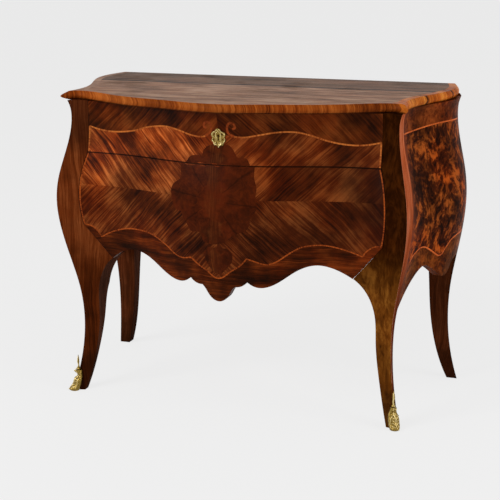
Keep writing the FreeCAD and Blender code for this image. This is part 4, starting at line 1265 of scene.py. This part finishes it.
UPPER_LINE_LEFT = shown([(-446, 818), (-414, 810), (-373, 806), (-331, 808), (-285, 816), (-238, 830),
                         (-177, 838), (-132, 832), (-92, 822), (-60, 818), (-41, 821)])
UPPER_LINE_RIGHT = shown([(446, 812), (411, 805), (375, 802), (333, 805), (292, 814), (257, 826),
                          (220, 836), (185, 838), (150, 835), (111, 828), (75, 822), (46, 823)])
UPPER_CURLS = tuple(shown(run) for run in (
    [(-42, 821), (-25, 833), (-20, 849), (-27, 862), (-39, 860), (-43, 849), (-35, 845)],
    [(47, 823), (30, 832), (27, 850), (35, 862), (46, 860), (50, 849), (42, 845)],
))
UPPER_FIELD_LINE = shown([(-450, 819), (-373, 806), (-285, 816), (-238, 830), (-177, 838), (-92, 822),
                          (-41, 821), (0, 832), (46, 823), (111, 828), (185, 838), (257, 826),
                          (292, 814), (375, 802), (450, 813)])
LOWER_LINE = tuple(shown(run) for run in (
    [(-457, 527), (-432, 520), (-414, 504), (-405, 490)],
    [(-405, 490), (-380, 504), (-347, 517), (-307, 526), (-259, 527), (-218, 519), (-176, 498),
     (-142, 473), (-116, 465), (-87, 470)],
    [(-87, 470), (-65, 452), (-38, 435), (-15, 417), (0, 415), (13, 420), (33, 436), (65, 458), (84, 479)],
    [(84, 479), (107, 471), (129, 464), (146, 464), (170, 474), (205, 499), (234, 515), (263, 521),
     (296, 522), (332, 516), (374, 504), (404, 493)],
    [(404, 493), (413, 508), (436, 524), (456, 527)],
))
MEDALLION = shown([(-120, 740.4), (-118, 700), (-140, 681), (-148, 661), (-144, 639), (-134, 611),
                   (-112, 604), (-106, 587), (-88, 562), (-82, 551), (-56, 550), (-48, 539), (-42, 524),
                   (-18, 517), (4, 519), (22, 526), (35, 536), (53, 549), (74, 557), (86, 563), (96, 581),
                   (99, 599), (113, 619), (116, 636), (112, 661), (114, 683), (106, 710), (105, 740.4)])
MEDALLION_CREST = shown([(-104, 743.6), (-98, 750), (-90, 761), (-71, 766), (-52, 766), (-47, 781),
                         (-33, 794), (-11, 800), (10, 801), (30, 798), (42, 787), (49, 775), (57, 765),
                         (80, 763), (89, 751), (92, 743.6)])
MEDALLION_DROP = shown([(-30, 507), (-43, 487), (-36, 462), (-24, 442), (-9, 430), (7, 430), (24, 447),
                        (38, 463), (43, 490), (27, 507)])
SIDE_TOP_LINE = shown([(-90, 826), (-39, 827), (6, 830), (59, 834), (112, 835), (200, 832)])
SIDE_BOTTOM_LINE = shown([(-70, 455), (-57, 468), (-39, 479), (-19, 487), (3, 485), (28, 472), (54, 455),
                          (72, 445), (86, 448), (98, 465), (117, 484), (146, 493), (200, 498)])

FOOT_MIDDLE = (0.4999, -0.1983)
FOOT_RADIUS = 15 * MM
FOOT_RIBS = (
    ([(1.7, 7), (1.7, 32), (1.9, 57)], 1.2),
    ([(3, 57), (9, 52), (13.5, 38), (14.5, 20), (11, 7)], 1.1),
    ([(3.4, 60)], 2.3),
    ([(7.6, 55.5)], 1.9),
    ([(3.4, 66), (4.2, 70), (2.4, 76)], 1.1),
    *(([(3.6, low), (7.5, low + 3), (11.5, low + 4)], 1.3) for low in range(10, 50, 7)),
)
FOOT_STEM = ([(0, 64), (0, 86), (0, 107)], 2.4)
FOOT_BEAD = ((0, 5), 2.4)
PLATE_RIBS = (
    ([(1.5, 843), (6.6, 839.5), (10, 835.5), (16, 832.8), (19, 826.5), (16.5, 820.5)], 1.3),
    ([(16.5, 818), (18.4, 811.5), (14.2, 805.5), (11.6, 799.8)], 1.3),
    ([(2, 835), (6.6, 832), (7.8, 825), (6.2, 818), (7, 811), (10.4, 809)], 1.2),
    ([(3, 842.6)], 1.9),
    ([(18.6, 829)], 2.0),
    ([(15.8, 822.8)], 1.6),
    ([(17.2, 809)], 1.8),
)
PLATE_LEAVES = (
    ([(-14, 806), (-11.5, 801), (-9.5, 797.5)], 2.6),
    ([(-10, 806), (-8, 801), (-5.5, 798)], 1.9),
    ([(9.5, 806), (7.5, 800.5), (3, 797.5), (-0.5, 793)], 2.2),
    ([(3, 806.5), (2, 801.5), (-1.5, 797)], 1.6),
)
PLATE_BEAD = ((0, 838), 2.0)

INNER_BOARDS = ("bottom_board", "dust_board", "top_dowels", *(
    f"{level}_{part}" for level in LEVELS
    for part in ("back_board", "drawer_back", "drawer_bottom", "drawer_stops")))
RUNNERS = tuple(f"{level}_{part}" for level in LEVELS for side in SIDES
                for part in (f"{side}_guide", f"drawer_{side}_side"))


@dataclass
class Drawer:
    """What both drawers share: a veneered front, string lines on it and pieces of the flower."""

    effects: Effects
    body: str
    line_step: float = 3 * MM
    end_inset: float = 3.2 * MM
    end_inside: float = 0.4
    end_outside: float = 0.52

    def dress_front(self, finish: QuarteredFront) -> Ground:
        """Give the front its finish.

        Args:
            finish: The finish.

        Returns:
            The face that the strings and the flower are laid on.
        """
        front = f"{self.body}_front"
        coat_nodes(finish.material(self.effects), front)
        return Ground([front], FROM_FRONT)

    def paths(self, lines: Iterable[Sequence[Point]]) -> list[list[Vector]]:
        """Run smooth lines through the points of each line."""
        return [smooth_path(line, self.line_step) for line in lines]

    def end_run(self, ground: Ground, way: float, start: float, end: float, steps: int) -> list[Vector]:
        """Run a string down the drawer's curved end.

        Args:
            ground: The drawer's face.
            way: A place on the side where that end is.
            start: The height at which the string starts.
            end: The height at which it ends.
            steps: How many steps it takes.

        Returns:
            Points on the string.
        """
        way = math.copysign(1.0, way)
        run = []
        for step in range(steps + 1):
            high = start + (end - start) * step / steps
            edge = ground.edge(high, way * self.end_inside, way * self.end_outside)
            run.append(Vector((edge - way * self.end_inset, high, 0.0)))
        return run

    def lay_piece(self, piece: LaidPiece, finish: Finish) -> None:
        """Lay a piece on the drawer with a finish of its own."""
        piece.lay(self.body, "drawer_veneer", finish.material(self.effects))


@dataclass
class UpperDrawer(Drawer):
    """The drawer under the top, with its curls and the crest of the flower."""

    body: str = "upper_drawer"
    string_end: float = 0.7445
    end_steps: int = 12

    def build(self) -> None:
        """Build and dress the drawer."""
        ground = self.dress_front(QuarteredFront(
            "upper_front_veneer", KINGWOOD, DEEP_KINGWOOD,
            LeafToneAndLight(upper_left=1.92, lower_left=1.92, upper_right=0.6, lower_right=0.6),
            LineMask(UPPER_FIELD_LINE, low=0.78, high=0.86), field_is_above=True))
        lines = (UPPER_LINE_LEFT, UPPER_LINE_RIGHT)
        ends = [self.end_run(ground, *line[0], self.string_end, self.end_steps) for line in lines]
        runs = [run for pair in zip(self.paths(lines), ends) for run in pair]
        self.lay_piece(StringWork("upper_drawer_stringing", ground, runs, width=4.4 * MM), UPPER_STRING)
        curls = StringWork("upper_drawer_curls", ground, self.paths(UPPER_CURLS), width=6.5 * MM,
                           proud=0.12 * MM)
        self.lay_piece(curls, CURL_STRING)
        crest = VeneerSheet("medallion_crest", ground, *self.paths([MEDALLION_CREST]))
        self.lay_piece(crest, MEDALLION_FINISH)


@dataclass
class LowerDrawer(Drawer):
    """The deep drawer whose front carries the scalloped apron, the flower and its drop."""

    body: str = "lower_drawer"
    string_start: float = 0.7395
    end_steps: int = 40

    def build(self) -> None:
        """Build and dress the drawer."""
        field_line = list(dict.fromkeys(place for run in LOWER_LINE for place in run))
        ground = self.dress_front(QuarteredFront(
            "lower_front_veneer", KINGWOOD, APRON_WOOD,
            LeafToneAndLight(upper_left=1.28, lower_left=0.62, upper_right=0.45, lower_right=0.54),
            LineMask(field_line, low=0.40, high=0.54), field_is_above=False, right_end_shadow=0.65))
        runs = self.paths(LOWER_LINE)
        for way, end in (field_line[0], field_line[-1]):
            runs.append(self.end_run(ground, way, self.string_start, end, self.end_steps))
        self.lay_piece(StringWork("lower_drawer_stringing", ground, runs), LOWER_STRING)
        for name, outline in (("medallion_flower", MEDALLION), ("medallion_drop", MEDALLION_DROP)):
            self.lay_piece(VeneerSheet(name, ground, *self.paths([outline])), MEDALLION_FINISH)


@dataclass
class Carcase:
    """The posts and the sides, and the plain wood inside the carcase and the drawers."""

    effects: Effects
    body: str = "carcase"
    line_step: float = 4 * MM
    arris_low: float = 0.125
    arris_top: float = 0.885
    arris_step: float = 8 * MM
    arris_inset: float = 2.2 * MM
    arris_width: float = 3.2 * MM
    search_step: float = 0.5 * MM
    search_rows: range = range(-460, -180)

    def build(self) -> None:
        """Build and dress the carcase."""
        effects = self.effects
        posts = (
            PostWood("front_left_wood", LEFT_STILE, LEFT_LEG, FLANK_WITH_SHEEN, outward=-1.0, leaf=1.3, top_shade=0.6),
            PostWood("front_right_wood", RIGHT_STILE, RIGHT_LEG, FLANK_WITH_SHEEN, outward=1.0, leaf=4.1, mottled=True),
            PostWood("rear_left_wood", REAR_LEG, REAR_LEG, REAR_LEG, outward=-1.0, leaf=7.9),
            PostWood("rear_right_wood", REAR_LEG, REAR_LEG, REAR_LEG, outward=1.0, leaf=9.2),
        )
        for finish in posts:
            coat_nodes(finish.material(effects), finish.name.replace("wood", "post"))
        side = BurrSide("side_veneer", SIDE_BURR, SIDE_BORDER, SIDE_APRON,
                        LineMask(SIDE_TOP_LINE, low=0.80, high=0.86),
                        LineMask(SIDE_BOTTOM_LINE, low=0.42, high=0.54), worn=tone(112, 54, 32))
        coat_nodes(side.material(effects), "left_side_panel", "right_side_panel")
        string = SIDE_STRING.material(effects)
        arris = ARRIS_WEAR_AND_SHEEN.material(effects)
        for name, way in zip(SIDES, (1.0, -1.0)):
            look = Vector((way, 0.0, 0.0))
            ground = Ground([f"{name}_side_panel", f"front_{name}_post", f"rear_{name}_post"], look)
            runs = [smooth_path(line, self.line_step) for line in (SIDE_TOP_LINE, SIDE_BOTTOM_LINE)]
            StringWork(f"{name}_side_stringing", ground, runs).lay(self.body, "side_veneer", string)
            ground = Ground([f"front_{name}_post"], look)
            strip = StringWork(f"{name}_arris", ground, [self.arris_run(ground)], width=self.arris_width)
            strip.lay(self.body, "post_veneer", arris)
        for name, lay, nodes in (("inner_wood", Lay.LENGTHWISE, INNER_BOARDS),
                                 ("runner_wood", Lay.DEEP, RUNNERS)):
            plain = PlainWood(name, INNER_WOOD, lay, streaks=70.0, contrast=2.2, rough=0.6, fading=0.1)
            coat_nodes(plain.material(effects), *nodes)

    def arris_run(self, ground: Ground) -> list[Vector]:
        """Run a strip up the front arris of a post, on its flank: a worn edge with a painted highlight.

        Args:
            ground: The post, looked at from its side.

        Returns:
            Points on the strip.
        """
        run = []
        places = [row * self.search_step for row in self.search_rows]
        for level in range(round((self.arris_top - self.arris_low) / self.arris_step) + 1):
            high = self.arris_low + level * self.arris_step
            first = next((place for place in places if ground.faces(place, high)), None)
            if first is not None:
                run.append(Vector((first + self.arris_inset, high, 0.0)))
        return run


@dataclass
class Top:
    """The two boards of the top inside their banded edge."""

    effects: Effects
    cracks: tuple[float, ...] = (0.028, 0.158)

    def build(self) -> None:
        """Dress the top."""
        joint = max(vertex.co.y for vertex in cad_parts["top_front_board"].data.vertices)
        for name, tones, leaf in (("front", TOP_BOARDS, 2.2), ("rear", TOP_REAR, 6.4)):
            board = PlainWood(f"top_{name}_wood", tones, Lay.LENGTHWISE, streaks=42.0, contrast=4.4,
                              leaf=leaf, rough=0.42, fading=0.3, gloss=0.03, joint=joint, clouds=1.1)
            coat_nodes(board.material(self.effects), f"top_{name}_board")
        worn = BandedEdge("worn_edge_wood", EDGE_BAND, TOP_BOARDS, worn=1.0)
        coat_nodes(worn.material(self.effects), "top_front_moulding", "top_left_moulding")
        split = BandedEdge("edge_wood", PALE_BAND, TOP_BOARDS, worn=0.15, cracks=self.cracks)
        coat_nodes(split.material(self.effects), "top_right_moulding")


@dataclass
class Metalwork:
    """Gilt mounts, lock, nails and pins."""

    effects: Effects

    def build(self) -> None:
        """Dress the metal."""
        gilt = Gilt("gilt_brass").material(self.effects)
        coat_nodes(gilt, "escutcheon", "escutcheon_pins", "front_left_sabot", "front_right_sabot",
                   "sabot_pins")
        cast = Gilt("gilt_relief", plain=False).material(self.effects)
        for name, side, facing in (("left", -1, -135.0), ("right", 1, -45.0)):
            relief = self.foot_relief(f"front_{name}_sabot", side, math.radians(facing))
            relief.lay("carcase", "gilt_brass", cast)
        self.plate_relief().lay("upper_drawer", "gilt_brass", cast)
        iron = Iron("old_iron", tone(58, 52, 48)).material(self.effects)
        coat_nodes(iron, "lock_case", "lock_bolt", "lock_screws", "back_nails")

    def foot_relief(self, node: str, side: int, facing: float) -> CastRelief:
        """Raise the ribbed shell and the stem of a gilt foot.

        Args:
            node: The foot's node.
            side: 1 on the right, -1 on the left.
            facing: The angle at which the foot faces outward.

        Returns:
            The ornament.
        """
        middle = (side * FOOT_MIDDLE[0], FOOT_MIDDLE[1])
        relief = CastRelief(f"{node}_relief", RoundGround([node], middle, facing, FOOT_RADIUS))
        self.raise_all(relief, FOOT_RIBS, [FOOT_STEM], FOOT_BEAD)
        return relief

    def plate_relief(self) -> CastRelief:
        """Raise the scrolls and leaves of the keyhole plate.

        Returns:
            The ornament.
        """
        relief = CastRelief("escutcheon_relief", Ground(["escutcheon"], FROM_FRONT))
        self.raise_all(relief, PLATE_RIBS, PLATE_LEAVES, PLATE_BEAD)
        return relief

    def raise_all(self, relief: CastRelief, pairs: Iterable, singles: Iterable, bead: tuple) -> None:
        """Raise the ribs and beads of an ornament, which are written in millimetres.

        Args:
            relief: The ornament.
            pairs: Lines or places with their radius, each with its mirror image.
            singles: Lines with their radius.
            bead: The middle bead's place and radius.
        """
        for line, thick in pairs:
            relief.both(shown(line), thick * MM)
        for line, thick in singles:
            relief.rib(shown(line), thick * MM)
        relief.bead(*shown([bead[0]]), bead[1] * MM)


@dataclass(frozen=True)
class Lamp:
    """A soft square lamp."""

    name: str
    place: tuple[float, float, float]
    aim: tuple[float, float, float]
    size: float
    power: float

    def hang(self) -> None:
        """Hang the lamp and point it at its aim."""
        data = bpy.data.lights.new(self.name, "AREA")
        data.size = self.size
        data.energy = self.power
        lamp = add_object(self.name, data)
        lamp.location = self.place
        lamp.rotation_euler = (Vector(self.aim) - Vector(self.place)).to_track_quat("-Z", "Y").to_euler()


@dataclass
class Studio:
    """The floor, lamps and camera."""

    place: tuple[float, float, float] = (1.4135, -3.735, 1.4649)
    turn: float = math.radians(20.779)
    tilt: float = math.radians(14.465)
    roll: float = math.radians(-0.722)
    lens: float = 98.19
    sensor: float = 36.0
    backdrop: Colour = tone(236, 236, 236)
    floor_half: float = 40.0
    floor_drop: float = 0.4 * MM
    glow: float = 1.075
    glow_share: float = 0.86
    room_light: float = 0.42
    lamps: tuple[Lamp, ...] = (
        Lamp("key_lamp", place=(-2.6, -3.4, 3.1), aim=(-0.1, -0.1, 0.6), size=2.2, power=120.0),
        Lamp("side_lamp", place=(3.6, -0.6, 1.9), aim=(0.5, 0.0, 0.6), size=1.6, power=45.0),
    )

    def build(self) -> None:
        """Set up the studio."""
        self.add_camera()
        self.add_floor()
        self.add_world()
        for lamp in self.lamps:
            lamp.hang()
        bpy.context.scene.view_settings.view_transform = "Standard"

    def add_camera(self) -> None:
        """Place the camera at the photograph's viewing angle."""
        data = bpy.data.cameras.new("studio_camera")
        data.lens = self.lens
        data.sensor_width = self.sensor
        camera = add_object("studio_camera", data)
        turns = ((self.turn, "Z"), (math.pi / 2 - self.tilt, "X"), (self.roll, "Z"))
        pose = Matrix.Translation(self.place)
        for angle, axis in turns:
            pose = pose @ Matrix.Rotation(angle, 4, axis)
        camera.matrix_world = pose
        bpy.context.scene.camera = camera

    def add_floor(self) -> None:
        """Lay the pale floor, which takes the shadow."""
        half = self.floor_half
        mesh = bpy.data.meshes.new("studio_floor")
        corners = [(-half, -half), (half, -half), (half, half), (-half, half)]
        mesh.from_pydata([(*corner, -self.floor_drop) for corner in corners], [], [(0, 1, 2, 3)])
        floor = add_object("studio_floor", mesh)
        material = bpy.data.materials.new("studio_floor")
        bench = NodeBench(fresh_tree(material))
        matt = bench.add("BsdfDiffuse", {"Color": self.backdrop})
        glow = bench.add("Emission", {"Color": self.backdrop, "Strength": self.glow})
        share = bench.scaled(self.seen(bench), self.glow_share)
        mixed = bench.add("MixShader", {0: share, 1: matt.outputs[0], 2: glow.outputs[0]})
        bench.add("OutputMaterial", {"Surface": mixed.outputs[0]})
        mesh.materials.append(material)

    def seen(self, bench: NodeBench) -> NodeSocket:
        """Tell the rays that show the backdrop itself from those that light the chest.

        Args:
            bench: Where the nodes are added.

        Returns:
            1 for a ray that shows it.
        """
        rays = bench.add("LightPath").outputs
        direct = bench.math("MAXIMUM", rays["Is Camera Ray"], rays["Is Glossy Ray"])
        return bench.math("MAXIMUM", direct, rays["Is Transmission Ray"])

    def add_world(self) -> None:
        """Fill the room with soft light."""
        world = bpy.data.worlds.new("studio_room")
        bench = NodeBench(fresh_tree(world))
        strength = bench.between(self.seen(bench), self.room_light, 1.0)
        light = bench.add("Background", {"Color": self.backdrop, "Strength": strength})
        bench.add("OutputWorld", {"Surface": light.outputs[0]})
        bpy.context.scene.world = world


def main() -> None:
    """Build the chest's looks and the studio in order."""
    logging.basicConfig(level=logging.INFO, format="%(name)s %(message)s")
    effects = Effects()
    Carcase(effects).build()
    Top(effects).build()
    UpperDrawer(effects).build()
    LowerDrawer(effects).build()
    Metalwork(effects).build()
    Studio().build()


if __name__ == "__main__":
    main()
